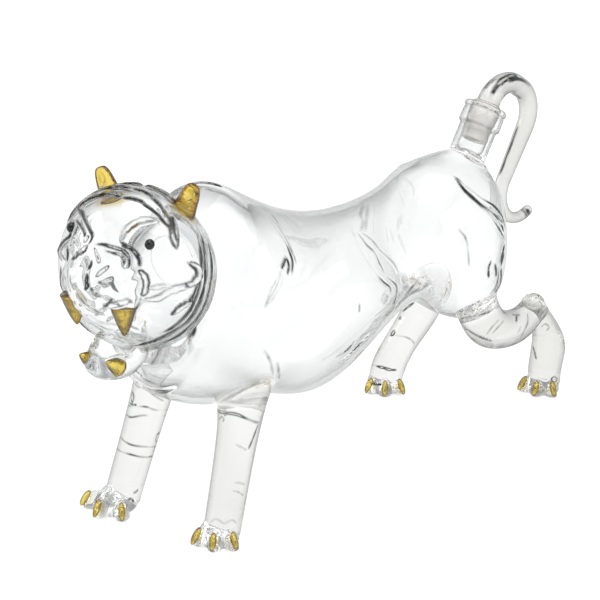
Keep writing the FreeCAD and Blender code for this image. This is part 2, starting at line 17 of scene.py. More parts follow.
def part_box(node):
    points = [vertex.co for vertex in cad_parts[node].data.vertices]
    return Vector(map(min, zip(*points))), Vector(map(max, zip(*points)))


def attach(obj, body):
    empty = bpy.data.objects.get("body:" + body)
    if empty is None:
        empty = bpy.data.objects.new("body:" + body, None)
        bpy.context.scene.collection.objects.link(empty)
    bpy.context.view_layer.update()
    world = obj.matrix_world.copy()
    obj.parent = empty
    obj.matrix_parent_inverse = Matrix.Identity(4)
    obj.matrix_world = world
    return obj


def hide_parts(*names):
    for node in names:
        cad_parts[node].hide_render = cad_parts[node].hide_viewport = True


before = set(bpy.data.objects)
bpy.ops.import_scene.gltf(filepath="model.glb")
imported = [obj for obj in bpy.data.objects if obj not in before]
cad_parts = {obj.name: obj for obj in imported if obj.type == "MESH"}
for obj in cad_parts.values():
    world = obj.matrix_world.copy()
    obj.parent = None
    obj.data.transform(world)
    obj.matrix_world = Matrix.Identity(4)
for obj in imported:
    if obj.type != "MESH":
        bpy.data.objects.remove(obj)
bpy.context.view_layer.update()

# %% [markdown]
# ## Small tools
# Everything below works in millimetres, in the CAD model's own frame: the cat faces -Y, its left
# flank is +X and Z is up. Meshes are turned to metres when they are handed to Blender.

# %% Objects, colours and nodes
MM = 0.001
scene = bpy.context.scene


def put(name, data):
    """An object for some data, placed in the scene."""
    made = bpy.data.objects.new(name, data)
    scene.collection.objects.link(made)
    return made


def linear(code):
    """An sRGB hex colour as the linear values that shaders work with."""
    parts = [int(code[i:i + 2], 16) / 255 for i in (1, 3, 5)]
    return [p / 12.92 if p <= 0.04045 else ((p + 0.055) / 1.055) ** 2.4 for p in parts] + [1.0]


def add(tree, kind, inputs=None, **settings):
    """Add a node, give it its settings, and fill or link its inputs."""
    made = tree.nodes.new(kind)
    for word, value in settings.items():
        setattr(made, word, value)
    for word, value in (inputs or {}).items():
        if isinstance(value, bpy.types.NodeSocket):
            tree.links.new(value, made.inputs[word])
        else:
            made.inputs[word].default_value = value
    return made


def fill(tone, colours):
    """Give a colour ramp its stops: places from 0 up, each with a colour."""
    stops = tone.color_ramp.elements
    stops.remove(stops[1])
    for place, code in colours:
        stop = stops[0] if place == 0 else stops.new(place)
        stop.color = linear(code)


# %% Curves and ramps
def ramp(low, high, x):
    """0 below low, 1 above high, and an easy slope between."""
    t = np.clip((x - low) / (high - low), 0, 1)
    return t * t * (3 - 2 * t)


def around(columns):
    """Angles once round a circle."""
    return np.linspace(0, 2 * np.pi, columns, endpoint=False)


def through(points, count):
    """Points along a smooth curve through the given ones."""
    p = np.array(points, float)
    p = np.vstack([2 * p[0] - p[1], p, 2 * p[-1] - p[-2]])
    place = np.linspace(0, len(p) - 3, count)
    i = np.minimum(place.astype(int), len(p) - 4)
    t = (place - i)[:, None]
    a, b, c, d = (p[i + k] for k in range(4))
    return b + 0.5 * t * (c - a + t * (2 * a - 5 * b + 4 * c - d + t * (3 * (b - c) + d - a)))


def spline(rings, rows):
    """Rows over a few rings of points, as a springy strip bends through them."""
    knots = np.concatenate([[0], np.cumsum(np.linalg.norm(np.diff(rings.mean(1), axis=0), axis=1))])
    step = np.diff(knots)
    count = len(knots)
    pull, load = np.eye(count), np.zeros((count, rings[0].size))
    flat = rings.reshape(count, -1)
    for k in range(1, count - 1):
        pull[k, k - 1:k + 2] = step[k - 1], 2 * (step[k - 1] + step[k]), step[k]
        load[k] = 6 * ((flat[k + 1] - flat[k]) / step[k] - (flat[k] - flat[k - 1]) / step[k - 1])
    bend = np.linalg.solve(pull, load).reshape(rings.shape)
    x = np.linspace(0, 1, rows) * knots[-1]
    k = np.clip(np.searchsorted(knots, x) - 1, 0, count - 2)
    h = step[k][:, None, None]
    t = (x - knots[k])[:, None, None]
    u = h - t
    return ((bend[k] * u ** 3 + bend[k + 1] * t ** 3) / (6 * h)
            + (rings[k] / h - bend[k] * h / 6) * u + (rings[k + 1] / h - bend[k + 1] * h / 6) * t)


# %% [markdown]
# ## Skins
# A skin is a grid of points: columns run round a piece and rows along it. Two such grids, one
# inside the other, make blown glass, and one grid closed at both ends makes a rod or a drop.
# Glass only looks right when a welded piece is sunk a little into the piece that carries it: a
# film of air between them would shine like a mirror. `Host` finds that depth, and `weld` cuts a
# grid there and flares its edge, as glass does when it melts on. `MELT` says from which depth to
# which the painted rim shade of a piece is taken off, because no rim shows inside a weld.

# %% Grids
def outward(grid):
    """The direction away from the glass at each point of a grid."""
    round_it = np.roll(grid, -1, 1) - np.roll(grid, 1, 1)
    along = np.gradient(grid, axis=0)
    normal = np.cross(round_it, along)
    return normal / np.maximum(np.linalg.norm(normal, axis=2, keepdims=True), 1e-9)


def quads(rows, columns):
    """Faces between the rows of a grid whose columns close on themselves."""
    i, j = np.meshgrid(np.arange(rows - 1), np.arange(columns), indexing="ij")
    k = (j + 1) % columns
    faces = [i * columns + j, i * columns + k, (i + 1) * columns + k, (i + 1) * columns + j]
    return np.stack(faces, -1).reshape(-1, 4).tolist()


def closed(grid):
    """Points and faces of a grid with its two ends drawn shut."""
    rows, columns = grid.shape[:2]
    points = np.vstack([grid.reshape(-1, 3), grid[0].mean(0), grid[-1].mean(0)])
    faces = quads(rows, columns)
    start, end, last = rows * columns, rows * columns + 1, (rows - 1) * columns
    for j in range(columns):
        k = (j + 1) % columns
        faces.append([start, k, j])
        faces.append([end, last + j, last + k])
    return points, faces


def looped(grid):
    """Points and faces of a grid whose last row joins its first, as a hollow wall's does."""
    points = grid.reshape(-1, 3)
    return points, [[v % len(points) for v in face] for face in quads(len(grid) + 1, grid.shape[1])]


def crossing(values, level):
    """The place along each column where its values first fall below a level."""
    here = np.arange(values.shape[1])
    after = np.argmax(values < level, axis=0)
    before = np.maximum(after - 1, 0)
    a, b = values[before, here], values[after, here]
    return before + np.clip((a - level) / np.where(a == b, 1, a - b), 0, 1)


def resample(grid, first, last, rows):
    """New rows for a grid, each column running from its own first place to its last."""
    at = first + (last - first) * np.linspace(0, 1, rows)[:, None]
    k = np.minimum(at.astype(int), len(grid) - 2)
    part = (at - k)[..., None]
    here = np.arange(grid.shape[1])
    return grid[k, here] * (1 - part) + grid[k + 1, here] * part


# %% Welds
SUNK = 0.8
MELT = (-3.5, -0.5)
CAP_STEPS = (0.3, 0.6, 0.85, 0.97)


class Host:
    """One or more pieces of glass that others are welded to."""

    def __init__(self, *skins):
        self.trees = [BVHTree.FromPolygons([tuple(p) for p in points], faces) for points, faces in skins]

    def nearest(self, point):
        """The depth below the skin that lies deepest over a point, and that skin's place and way."""
        point = Vector(point)
        found = []
        for tree in self.trees:
            near, normal, *rest = tree.find_nearest(point)
            found.append(((near - point).dot(normal), near, normal))
        return max(found, key=lambda item: item[0])

    def settle(self, point, depth):
        """The place at a depth below the skin nearest to a point."""
        deep, near, normal = self.nearest(point)
        return np.array(near - normal * depth)

    def depth(self, points):
        """How far each point lies below the skin, less than 0 outside it."""
        return np.array([self.nearest(p)[0] for p in points.reshape(-1, 3)]).reshape(points.shape[:-1])


def weld(grid, start=None, end=None, rows=60, flare=0.0, reach=4.0):
    """Cut a long grid where it meets its hosts and close it along their surfaces."""
    first, last = np.zeros(grid.shape[1]), np.full(grid.shape[1], len(grid) - 1.0)
    if start:
        first = crossing(start.depth(grid), SUNK)
    if end:
        last = len(grid) - 1 - crossing(end.depth(grid)[::-1], SUNK)
    cut = resample(grid, first, last, rows)
    length = np.linalg.norm(np.diff(cut, axis=0), axis=2)
    length = np.concatenate([np.zeros((1, grid.shape[1])), np.cumsum(length, 0)])
    wide = np.zeros_like(length)
    if start:
        wide += np.exp(-length / reach)
    if end:
        wide += np.exp((length - length[-1]) / reach)
    cut += outward(cut) * (flare * wide)[..., None]
    parts = [cut]
    for host, edge, front in ((start, cut[0], True), (end, cut[-1], False)):
        if host:
            middle = edge.mean(0)
            cap = np.array([[host.settle(p * (1 - s) + middle * s, SUNK) for p in edge] for s in CAP_STEPS])
            parts = [cap[::-1], *parts] if front else [*parts, cap]
    return np.concatenate(parts)


# %% [markdown]
# ## Tool marks
# A hot tool drawn over soft glass leaves a raised leaf with a crease along each edge. `mark` raises
# the leaf and notes the crease in a number kept at every point, which the glass reads later as
# shade painted along the crease. The edges waver, because the tool is held by hand. The marks stand
# in tables, a row for each: its sizes, then the places its path goes through.

# %% Tool marks
TRAIL = 72
FINE, COARSE = 0.45, 0.6


def marks(table):
    """Read rows of sizes, a colon and a path's places. A comma ends a row that goes on below."""
    rows = [row.split(":") for row in table.replace(",\n", ",").strip().splitlines()]
    return [([[float(n) for n in place.split()] for place in path.split(",")],
             [float(n) for n in sizes.split()]) for sizes, path in rows]


def mark(points, normals, crease, path, half, tall, dark=0.6, edge=1.2, fine=COARSE):
    """Raise a leaf along a path and paint shade along its two edges, each a line of the given fineness."""
    trail = through(path, TRAIL)
    reach = half * 1.4 + edge + 1
    near = np.all((points > trail.min(0) - reach) & (points < trail.max(0) + reach), axis=-1)
    if not near.any():
        return
    gap = np.linalg.norm(points[near][:, None] - trail[None], axis=2)
    nearest = gap.argmin(1)
    gap = gap.min(1)
    taper = np.sin(np.pi * (nearest + 0.5) / TRAIL) ** 0.6
    sway = 1 + 0.1 * np.sin(nearest * 0.22 + half * 7) + 0.07 * np.sin(nearest * 0.47 + tall * 9)
    width = half * taper * sway
    rise = tall * ramp(-edge / 2, edge / 2, width - gap) * np.minimum(1, taper * 1.5)
    points[near] += normals[near] * rise[:, None]
    waver = 0.85 + 0.15 * np.sin(nearest * 0.2 + half * 11)
    line = dark * waver * np.minimum(1, taper * 2) * np.exp(-((gap - width) / fine) ** 2)
    crease[near] = np.maximum(crease[near], np.minimum(line, 1))


# %% [markdown]
# `piece` turns points and faces into a mesh that rides on its body and stands in for its CAD nodes.
# Three numbers may be kept at every point: the crease number paints shade on the glass where a tool
# went, `weld` takes the painted rim shade off where it has melted into its neighbour, and `stain`
# lends it the amber of a drop nearby.

# %% Handing a piece over
def mesh_of(name, points, edges, faces, **kept):
    """A mesh with numbers kept at its points, 0 where the numbers run out."""
    mesh = bpy.data.meshes.new(name)
    mesh.from_pydata(np.asarray(points).tolist(), edges, faces)
    for word, given in kept.items():
        values = np.zeros(len(points))
        values[:np.size(given)] = np.ravel(given)
        mesh.attributes.new(word, "FLOAT", "POINT").data.foreach_set("value", values)
    return mesh


def piece(name, points, faces, material, nodes, slot, body="decanter", **worked):
    """Make the mesh, give it its glass, and let it ride on its body in place of its CAD nodes."""
    mesh = mesh_of(name, np.asarray(points) * MM, [], faces, **worked)
    mesh.shade_smooth()
    mesh.materials.append(material)
    thing = put(name, mesh)
    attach(thing, body)
    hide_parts(*nodes)
    print(f"{name}: {len(mesh.vertices)} points, {len(mesh.polygons)} faces")


def shaped(mesh, *tools):
    """The points, normals and faces that a mesh has after a few modifiers."""
    thing = put("work", mesh)
    for kind, settings in tools:
        tool = thing.modifiers.new(kind, kind)
        for word, value in settings.items():
            if hasattr(tool, word):
                setattr(tool, word, value)
            else:
                tool[word] = value
    made = bpy.data.meshes.new_from_object(thing.evaluated_get(bpy.context.evaluated_depsgraph_get()))
    bpy.data.objects.remove(thing)
    points = np.array([v.co for v in made.vertices])
    normals = np.array([v.normal for v in made.vertices])
    return points, normals, [list(face.vertices) for face in made.polygons]


# %% [markdown]
# ## Camera
# The photograph looks down a little from the cat's front left, with a longish lens.

# %% Camera
eye = Vector((0.55631, -0.57585, 0.40458))
back = Vector((0.65562, -0.65562, 0.37461))
camera = put("camera", bpy.data.cameras.new("camera"))
camera.data.lens = 108
camera.data.sensor_width = 36
camera.location = eye
camera.rotation_mode = "QUATERNION"
camera.rotation_quaternion = (-back).to_track_quat("-Z", "Y")
scene.camera = camera

# %% [markdown]
# ## Studio
# Clear glass has no colour of its own: what shows is the light around it. On a white table under
# an evenly white room it would vanish, so a glass photographer leaves part of the room grey. The
# sky here is white near the horizon and darker higher up, with a bright soft box overhead, and the
# floor stays white for rays that come from the camera or through the glass.

# %% World
world = bpy.data.worlds.new("studio")
scene.world = world
world.use_nodes = True
room = world.node_tree
room.nodes.clear()
direction = add(room, "ShaderNodeTexCoord")
height = add(room, "ShaderNodeSeparateXYZ", {"Vector": direction.outputs["Generated"]})
sky = add(room, "ShaderNodeValToRGB", {"Fac": height.outputs["Z"]})
fill(sky, ((0, "#FFFFFF"), (0.12, "#FFFFFF"), (0.35, "#DCDDDD"), (0.6, "#9C9D9E"), (0.85, "#D4D5D5"),
           (0.93, "#FFFFFF")))
ray = add(room, "ShaderNodeLightPath")
seen = add(room, "ShaderNodeBackground", {"Color": (1, 1, 1, 1), "Strength": 1.0})
glow = add(room, "ShaderNodeBackground", {"Color": sky.outputs["Color"], "Strength": 1.0})
both = add(room, "ShaderNodeMixShader",
           {0: ray.outputs["Is Camera Ray"], 1: glow.outputs[0], 2: seen.outputs[0]})
add(room, "ShaderNodeOutputWorld", {"Surface": both.outputs[0]})

# %% Floor
paper = bpy.data.materials.new("white_paper")
paper.use_nodes = True
tree = paper.node_tree
tree.nodes.clear()
ray = add(tree, "ShaderNodeLightPath")
direct = ray.outputs["Is Camera Ray"]
for word in ("Is Glossy Ray", "Is Transmission Ray"):
    direct = add(tree, "ShaderNodeMath", {0: direct, 1: ray.outputs[word]}, operation="MAXIMUM").outputs[0]
matt = add(tree, "ShaderNodeBsdfDiffuse", {"Color": linear("#F2F2F2")})
pale = add(tree, "ShaderNodeBsdfDiffuse", {"Color": linear("#8A8A8A")})
light = add(tree, "ShaderNodeEmission", {"Color": (1, 1, 1, 1), "Strength": 0.86})
lit = add(tree, "ShaderNodeAddShader", {0: pale.outputs[0], 1: light.outputs[0]})
shown = add(tree, "ShaderNodeMixShader", {0: direct, 1: matt.outputs[0], 2: lit.outputs[0]})
add(tree, "ShaderNodeOutputMaterial", {"Surface": shown.outputs[0]})
sheet = mesh_of("floor", [(-6, -6, 0), (6, -6, 0), (6, 6, 0), (-6, 6, 0)], [], [(0, 1, 2, 3)])
sheet.materials.append(paper)
floor = put("floor", sheet)
floor.location.z = -0.0005

# %% [markdown]
# Light goes through many walls of glass before it reaches the lens, so the paths are long.

# %% Lamps
LAMPS = (("soft_box_over", (0.1, -0.1, 1.3), 1.2, 9), ("soft_box_left", (-1.1, -0.9, 0.8), 0.8, 5),
         ("soft_box_right", (1.3, 0.4, 0.9), 0.8, 5))
BOUNCES = 64
for name, place, size, power in LAMPS:
    lamp = bpy.data.lights.new(name, "AREA")
    lamp.size = size
    lamp.energy = power
    box = put(name, lamp)
    box.location = place
    box.rotation_mode = "QUATERNION"
    box.rotation_quaternion = (Vector((0, 0, 0.09)) - Vector(place)).to_track_quat("-Z", "Y")
scene.view_settings.view_transform = "Standard"
for word in ("max_bounces", "transmission_bounces", "glossy_bounces"):
    setattr(scene.cycles, word, BOUNCES)
print("studio ready")

# %% [markdown]
# ## Glass
# Borosilicate bends light a little less than window glass and is almost colourless. Worked in a
# flame its skin is polished but never quite even, which is what makes the light wander in it. The
# rims of real pieces look grey; here that grey is painted shade in the tone of front faces, darker
# towards their rims.

# %% Kinds of glass
BORO = 1.47


def glass(name, rim_shaded_tones, ior, rough, wave_mm, wave):
    """A glass whose tone goes from the first colour, seen face on, to the last at its rim: painted rim shade.
    """
    made = bpy.data.materials.new(name)
    made.use_nodes = True
    tree = made.node_tree
    shader = tree.nodes["Principled BSDF"]
    shader.inputs["IOR"].default_value = ior
    shader.inputs["Roughness"].default_value = rough
    shader.inputs["Transmission Weight"].default_value = 1.0
    place = add(tree, "ShaderNodeTexCoord")
    wander = add(tree, "ShaderNodeTexNoise",
                 {"Vector": place.outputs["Object"], "Scale": 1000 / wave_mm, "Detail": 2.0})
    bump = add(tree, "ShaderNodeBump", {"Height": wander.outputs[0], "Strength": wave, "Distance": 0.001})
    tree.links.new(bump.outputs[0], shader.inputs["Normal"])
    # Painted shade: the tone of front faces darkens towards their rims.
    glance = add(tree, "ShaderNodeLayerWeight", {"Blend": 0.5, "Normal": bump.outputs[0]})
    face = add(tree, "ShaderNodeNewGeometry")
    front = add(tree, "ShaderNodeMath", {0: 1.0, 1: face.outputs["Backfacing"]}, operation="SUBTRACT")
    rim_shade_amount = add(tree, "ShaderNodeMath", {0: front.outputs[0], 1: glance.outputs["Facing"]},
                operation="MULTIPLY")
    tone = add(tree, "ShaderNodeValToRGB", {"Fac": rim_shade_amount.outputs[0]})
    fill(tone, rim_shaded_tones)
    colour = tone.outputs[0]
    # The weld number clears the painted rim shade to white, the crease number paints near-black shade, and
    # the stain number tints with amber.
    for word, code, blend in (("weld", "#FFFFFF", "MIX"), ("crease", "#020303", "MIX"),
                              ("stain", "#D9BC45", "MULTIPLY")):
        kept = add(tree, "ShaderNodeAttribute", attribute_name=word)
        mixed = add(tree, "ShaderNodeMix", {0: kept.outputs["Fac"], 6: colour, 7: linear(code)},
                    data_type="RGBA", blend_type=blend)
        colour = mixed.outputs[2]
    tree.links.new(colour, shader.inputs["Base Color"])
    return made


# Tones from face on to rim for each kind of glass; the dark end at the rim is painted shade.
BUBBLE = ((0, "#F9FAFA"), (0.5, "#F1F2F2"), (0.75, "#A8AAAA"), (0.9, "#2E3030"), (1, "#040404"))
ROD = ((0, "#EAEBE8"), (0.3, "#E2E3E1"), (0.58, "#B0B2B0"), (0.78, "#3E403F"), (1, "#040404"))
BENT = ((0, "#E0E0DD"), (0.3, "#D4D4D1"), (0.58, "#9A9B99"), (0.78, "#343635"), (1, "#030303"))
TURNED = ((0, "#F9FAFA"), (0.35, "#E8EAEA"), (0.6, "#8E9090"), (0.8, "#242626"), (1, "#030303"))
GROUND = ((0, "#FBF7F2"), (1, "#D6D2CD"))
AMBER = ((0, "#F6EA8C"), (0.2, "#E0C238"), (0.37, "#86660A"), (0.58, "#1C1200"), (1, "#030200"))
clear_glass = glass("borosilicate_clear", BUBBLE, BORO, 0.0, 16, 0.12)
rod_glass = glass("borosilicate_rod", ROD, BORO, 0.0, 11, 0.3)
bent_glass = glass("borosilicate_bent_rod", BENT, BORO, 0.0, 9, 0.4)
neck_glass = glass("borosilicate_turned", TURNED, BORO, 0.0, 9, 0.15)
ground_glass = glass("borosilicate_ground", GROUND, BORO, 0.42, 1.2, 0.35)
amber_glass = glass("amber_glass", AMBER, 1.52, 0.0, 5, 0.3)
tree = amber_glass.node_tree
depth = add(tree, "ShaderNodeVolumeAbsorption", {"Color": linear("#E6C84E"), "Density": 60.0})
tree.links.new(depth.outputs[0], tree.nodes["Material Output"].inputs["Volume"])
bead_glass = bpy.data.materials.new("black_bead_glass")
bead_glass.use_nodes = True
bead = bead_glass.node_tree.nodes["Principled BSDF"].inputs
bead["Base Color"].default_value = linear("#101010")
bead["Roughness"].default_value = 0.08
bead["IOR"].default_value = 1.5
print("glass made")

# %% [markdown]
# ## Torso
# The torso is one long bubble. Its shape comes from ten oval rings, as in the CAD model: place
# along the body, height, half width, how much taller than wide, and lean. The outer skin carries
# the stripes, which the maker presses and pulls while the glass is soft. The inner skin is the
# same form, a wall's thickness further in.

# %% Torso rings
TORSO = (
    (-106.5, 124.0, 24.0, 0.5, -13.0), (-88.3, 110.4, 42.8, 6.5, -18.4), (-60.5, 101.5, 45.5, 1.5, -5.4),
    (-29.4, 89.2, 39.5, 5.5, -1.0), (18.9, 92.9, 30.7, 0.9, 2.6), (56.3, 95.6, 31.6, 0.9, 9.0),
    (79.5, 89.9, 36.7, 9.3, 20.0), (91.4, 106.4, 31.4, 2.6, 33.6), (98.2, 121.0, 20.4, 2.0, 48.6),
    (99.8, 131.6, 9.8, 0.0, 58.0),
)
BODY_WALL = 2.6
ROUGH_ROWS, SKIN_ROWS, HOLLOW_ROWS, AROUND = 300, 430, 70, 190
CROWD = 0.62
LEAN = math.radians(32)
NECK = np.array([0, 99.8, 131.6])
ROOTS = (((25.6, -90, 25), (26, -75.5, 88), 12), ((-29.5, -99, 25), (-26, -75.5, 88), 12),
         ((20, 83, 72), (26, 91.5, 48), 11), ((-22.5, 93, 42), (-17, 93.5, 72), 12))
HEAD = np.array([0, -118.0, 129.5])
HEAD_SIZE = np.array([36.0, 29.0, 36.0])
YAW = math.radians(14)
TURN = np.array([[math.cos(YAW), -math.sin(YAW), 0], [math.sin(YAW), math.cos(YAW), 0], [0, 0, 1]])


def oval(x, y, z, half, tall, tilt, columns, crowd=0.0):
    """One ring of points, leaning back by its tilt, crowded towards its left side."""
    a = around(columns)
    a = a + crowd * np.cos(a)
    lean = math.radians(tilt)
    up = tall * np.cos(a)
    return np.stack([x + half * np.sin(a), y - up * math.sin(lean), z + up * math.cos(lean)], -1)


def torso_grid(inset):
    """The torso's rings drawn into one skin, lying inside the outer one by the inset."""
    rings = np.array([oval(0, y, z, half - inset, half + rise - inset, tilt, AROUND, CROWD)
                      for y, z, half, rise, tilt in TORSO])
    return spline(rings, ROUGH_ROWS)


def beside(points, start, end):
    """How far points lie from a straight line between two places."""
    start, way = np.array(start, float), np.subtract(end, start)
    along = np.clip((points - start) @ way / (way @ way), 0, 1)
    return np.linalg.norm(points - start - along[..., None] * way, axis=-1)


def in_head(points):
    """Below 1 inside the head globe, above 1 outside it."""
    return np.linalg.norm((points - HEAD) @ TURN / HEAD_SIZE, axis=-1)


# %% [markdown]
# The CAD torso bends through its rings a little differently, so the skin is measured against the
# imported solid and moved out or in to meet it, evenly enough to stay smooth. Near the head there is
# nothing to measure: there the bubble simply ends, just under the skin of the head it is welded to.

# %% Fitting the torso
UNDER_HEAD, CLEAR_OF_HEAD = 0.972, 1.03
FURTHEST, LARGEST = 40, 22
SMOOTHING_TURNS = 40


def leave_head(grid, rows):
    """Start every column of the torso just under the head's skin."""
    return resample(grid, crossing(-in_head(grid), -UNDER_HEAD), len(grid) - 1, rows)


def mould_gap(grid, node):
    """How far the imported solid's outer face lies beyond a grid, evened out to stay smooth."""
    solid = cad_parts[node]
    corners = [solid.matrix_world @ v.co / MM for v in solid.data.vertices]
    tree = BVHTree.FromPolygons(corners, [list(face.vertices) for face in solid.data.polygons])
    gap = np.full(grid.shape[:2], np.nan)
    for i, row in enumerate(grid):
        middle = Vector(row.mean(0))
        for j, point in enumerate(row):
            way = Vector(point) - middle
            length = way.length
            way.normalize()
            hit = tree.ray_cast(middle + way * (length + FURTHEST), -way)[0]
            reach = (hit - middle).dot(way) - length if hit else FURTHEST
            if abs(reach) < LARGEST and in_head(np.array(hit)) > CLEAR_OF_HEAD:
                gap[i, j] = reach
    gap[0] = 0
    for column in gap.T:
        known = np.flatnonzero(~np.isnan(column))
        column[:] = np.interp(np.arange(len(column)), known, column[known])
    for turn in range(SMOOTHING_TURNS):
        gap = (np.roll(gap, 1, 1) + 2 * gap + np.roll(gap, -1, 1)) / 4
        if turn % 3 == 0:
            padded = np.pad(gap, ((1, 1), (0, 0)), "edge")
            gap = (padded[:-2] + 2 * gap + padded[2:]) / 4
    return gap


def swell(grid, gap):
    """Move a grid's points away from the middle of their rows."""
    way = grid - grid.mean(1, keepdims=True)
    return grid + gap[..., None] * way / np.linalg.norm(way, axis=2, keepdims=True)


rough = torso_grid(0)
gap = mould_gap(rough, "body_bulb")
torso = leave_head(swell(rough, gap), SKIN_ROWS)
torso_skin = (torso.reshape(-1, 3).copy(), quads(len(torso), AROUND))
torso_host = Host(torso_skin)
hollow = leave_head(swell(torso_grid(BODY_WALL), gap), HOLLOW_ROWS)
print("mould gap, mm:", gap.min().round(1), gap.max().round(1))
print("torso reaches", torso.min((0, 1)).round(1), torso.max((0, 1)).round(1))

# %% [markdown]
# The stripes follow the photograph on the left flank and are repeated on the right, as a maker
# works both sides of the animal alike, only fainter. Each has a half width, a height and how dark
# the shade painted along its edges is.

# %% Torso stripes
STRIPES = marks("""
0.3 0.6 2.2: 19.7 -57.5 144.2, 27.8 -57.9 140.6, 32 -57.6 136.6, 36.3 -59.6 132.9, 39.5 -61.2 127.1
0.3 0.6 2.2: 30.5 -63.1 140.9, 35 -62.2 135.7, 37.3 -62.8 131.9, 39.3 -63.5 128.5, 42.2 -66.9 124.4
0.3 0.5 0.8: 25 -60.3 142.6, 31 -60 138.4, 35.2 -60.6 133.4, 37.8 -61.8 129
0.3 0.5 1.9: 38.7 -66.4 131.1, 40.7 -67.1 127.8, 43.5 -70.1 124.8
0.4 0.5 2.2: 38.7 -66.6 131.2, 40.2 -69.6 129.7, 41.5 -72.4 127.8
0.8 0.5 0.7: 41.6 -72.6 127.6, 43.1 -77.1 123.3, 44 -81.6 118.9, 44.1 -85.1 113.6
0.3 0.5 1.5: 43 -72 126.1, 44.4 -74.2 122.9, 45 -78 119.7, 44.7 -84.1 113.9
0.3 0.5 0.9: 43.6 -85 94.7, 42.7 -80.6 87.4, 38 -74.3 76.7
0.3 0.5 0.9: 42.8 -76.5 86.1, 39.5 -72 78, 35.3 -68 72.3
0.4 0.7 1: 31.9 7.5 85.3, 36.1 -10.6 82.3, 38.9 -26.2 79.5, 39.6 -39 76.1, 38.9 -44.7 75.6
0.4 0.6 0.9: 30.7 3.9 76.5, 36.5 -16.6 76.9, 36.5 -24.9 74.3, 37.3 -33.4 73.2
0.8 0.6 0.8: 32.4 -3.7 75.9, 33.7 -12.5 73.3, 34.5 -21.4 70.2, 35 -28.7 68.6
0.3 0.4 0.8: 36.3 -17.4 95.1, 36.7 -17.7 92.7, 37 -18.4 90.7
0.3 0.6 1.2: 17.1 -2.2 121.4, 21.9 -4.2 119, 26.8 -5.1 114, 29.9 -3.3 108.6, 31.8 -0.1 103,
    31.8 3.4 98.3, 31.9 8.2 94, 32.7 9.2 89.4
0.3 0.5 1: 18.4 0 119.9, 23.4 0.7 115.3, 26 3.2 111.6, 28.7 3.7 106.9, 30.5 5.8 101.8
0.3 0.4 0.8: 18.3 2.7 119.6, 21.9 5.7 116, 25.7 7.7 111.2, 28.9 13.2 104.3, 30.4 15.3 98.8
0.3 0.5 0.9: -0.2 24 124.4, 8 13 123.9, 13.7 8.7 122.3, 17.9 2.6 119.9
0.3 0.5 0.7: 1 25.1 124.4, 8 17.7 123.4, 13.2 11.5 121.9, 18.6 5 119.1
0.4 0.7 1.1: 31.1 7.5 99, 31.3 13.3 92.9, 31.5 12.7 86.7, 29.5 10 80
0.4 0.7 1.1: 29.5 29.5 90.8, 29.6 22.4 86.9, 29.7 16.5 82.8, 27 10 76
0.4 0.6 0.9: 29.5 32.1 92.3, 29.3 25.3 87.4, 29.2 18.5 82.7, 25.5 12 75
0.3 0.4 0.9: 29.2 59.2 110.3, 32.1 62.2 105, 33.7 62.9 97.9, 33.1 64.2 89.3
2 0.9 0: 15.5 71.2 130.9, 23 72 126.5, 29 76.7 120.1, 31.7 83.6 113.3, 33 89 106, 33.9 90.3 99
0.4 0.6 2.4: 15.5 71.2 130.9, 22.2 73.5 127.7, 28.5 78.7 121.1, 30 86.7 114.3, 30.8 91.7 107.8,
    31.8 93 101.9
0.4 0.6 2.4: 15.5 71.2 130.9, 23.3 70.8 125.4, 29.3 74.8 119.1, 33.3 80.5 112.3, 34.5 85.1 105.1,
    33.9 90.3 97.2
0.5 0.5 3: 34.3 89.9 95.2, 35.7 86.9 91.6, 36.4 84.6 87.5
0.5 0.5 3: 35 88.9 91.4, 35.7 87 88.4, 36.5 85.4 85.1
0.5 0.5 2.8: 36.2 85.9 83.8, 34.5 88.1 77.7, 32.7 89.4 71.9
0.3 0.5 1.8: 36.5 77.1 90.6, 36.4 75.8 86.4, 35.4 77.4 80.5
0.3 0.5 1.8: 36.6 79.9 88.2, 36.4 81.4 84.3, 35.8 82.5 80.3
""")
# Pressed dents: a place, a radius and how dark the painted shade in each is.
PRESSED = (((30.5, 20, 95), 2.6, 0.4), ((27.8, 41.3, 84.5), 3.2, 0.35), ((32.8, 3.6, 90.6), 2.6, 0.3))
BOLD = 1.5
FAR_SIDE = 0.12
normals = outward(torso)
crease = np.zeros(torso.shape[:2])
# Each stripe gets painted shade along its edges, the far side's fainter.
for path, (half, tall, dark) in STRIPES:
    mark(torso, normals, crease, path, half, tall, dark, fine=COARSE if dark > BOLD else FINE)
    across = [(-x, y, z) for x, y, z in path]
    mark(torso, normals, crease, across, half, tall * 0.5, dark * FAR_SIDE, fine=FINE)
# Dents are pressed in and painted shade fills them.
for place, radius, dark in PRESSED:
    dent = ramp(radius + 0.8, radius - 0.8, np.linalg.norm(torso - np.array(place), axis=2))
    torso -= normals * dent[..., None] * 0.4
    crease = np.maximum(crease, dent * dark)
points, faces = looped(np.concatenate([torso, hollow[::-1]]))
joint = np.maximum(ramp(1.24, 1.04, in_head(points)), ramp(17, 12, np.linalg.norm(points - NECK, axis=1)))
for start, end, radius in ROOTS:
    joint = np.maximum(joint, ramp(radius + 3, radius - 1, beside(points, start, end)))
piece("torso_bulb", points, faces, clear_glass, ["body_bulb"], "clear_glass", crease=crease, weld=joint)

# %% [markdown]
# ## Head
# The head is a second bubble, turned a little to the cat's left. It is built in its own frame, the
# face looking along -Y, as a globe of rows from the nose to the throat. The muzzle is a gob melted
# into the globe, so its form is drawn out of the same skin and the wall is simply thick there.

# %% Head globe
def globe(size, rows, columns, last=np.pi, centre=(0, 0, 0)):
    """Rows of points from the front of an egg shape to its back."""
    bow = np.linspace(0.004, last, rows)[:, None]
    a = around(columns)[None, :]
    x = size[0] * np.sin(bow) * np.sin(a)
    y = -size[1] * np.cos(bow) + 0 * a
    z = size[2] * np.sin(bow) * np.cos(a)
    return np.stack([x, y, z], -1) + np.array(centre)


def to_world(points):
    """From the head's own frame to the shared one."""
    return points @ TURN.T + HEAD


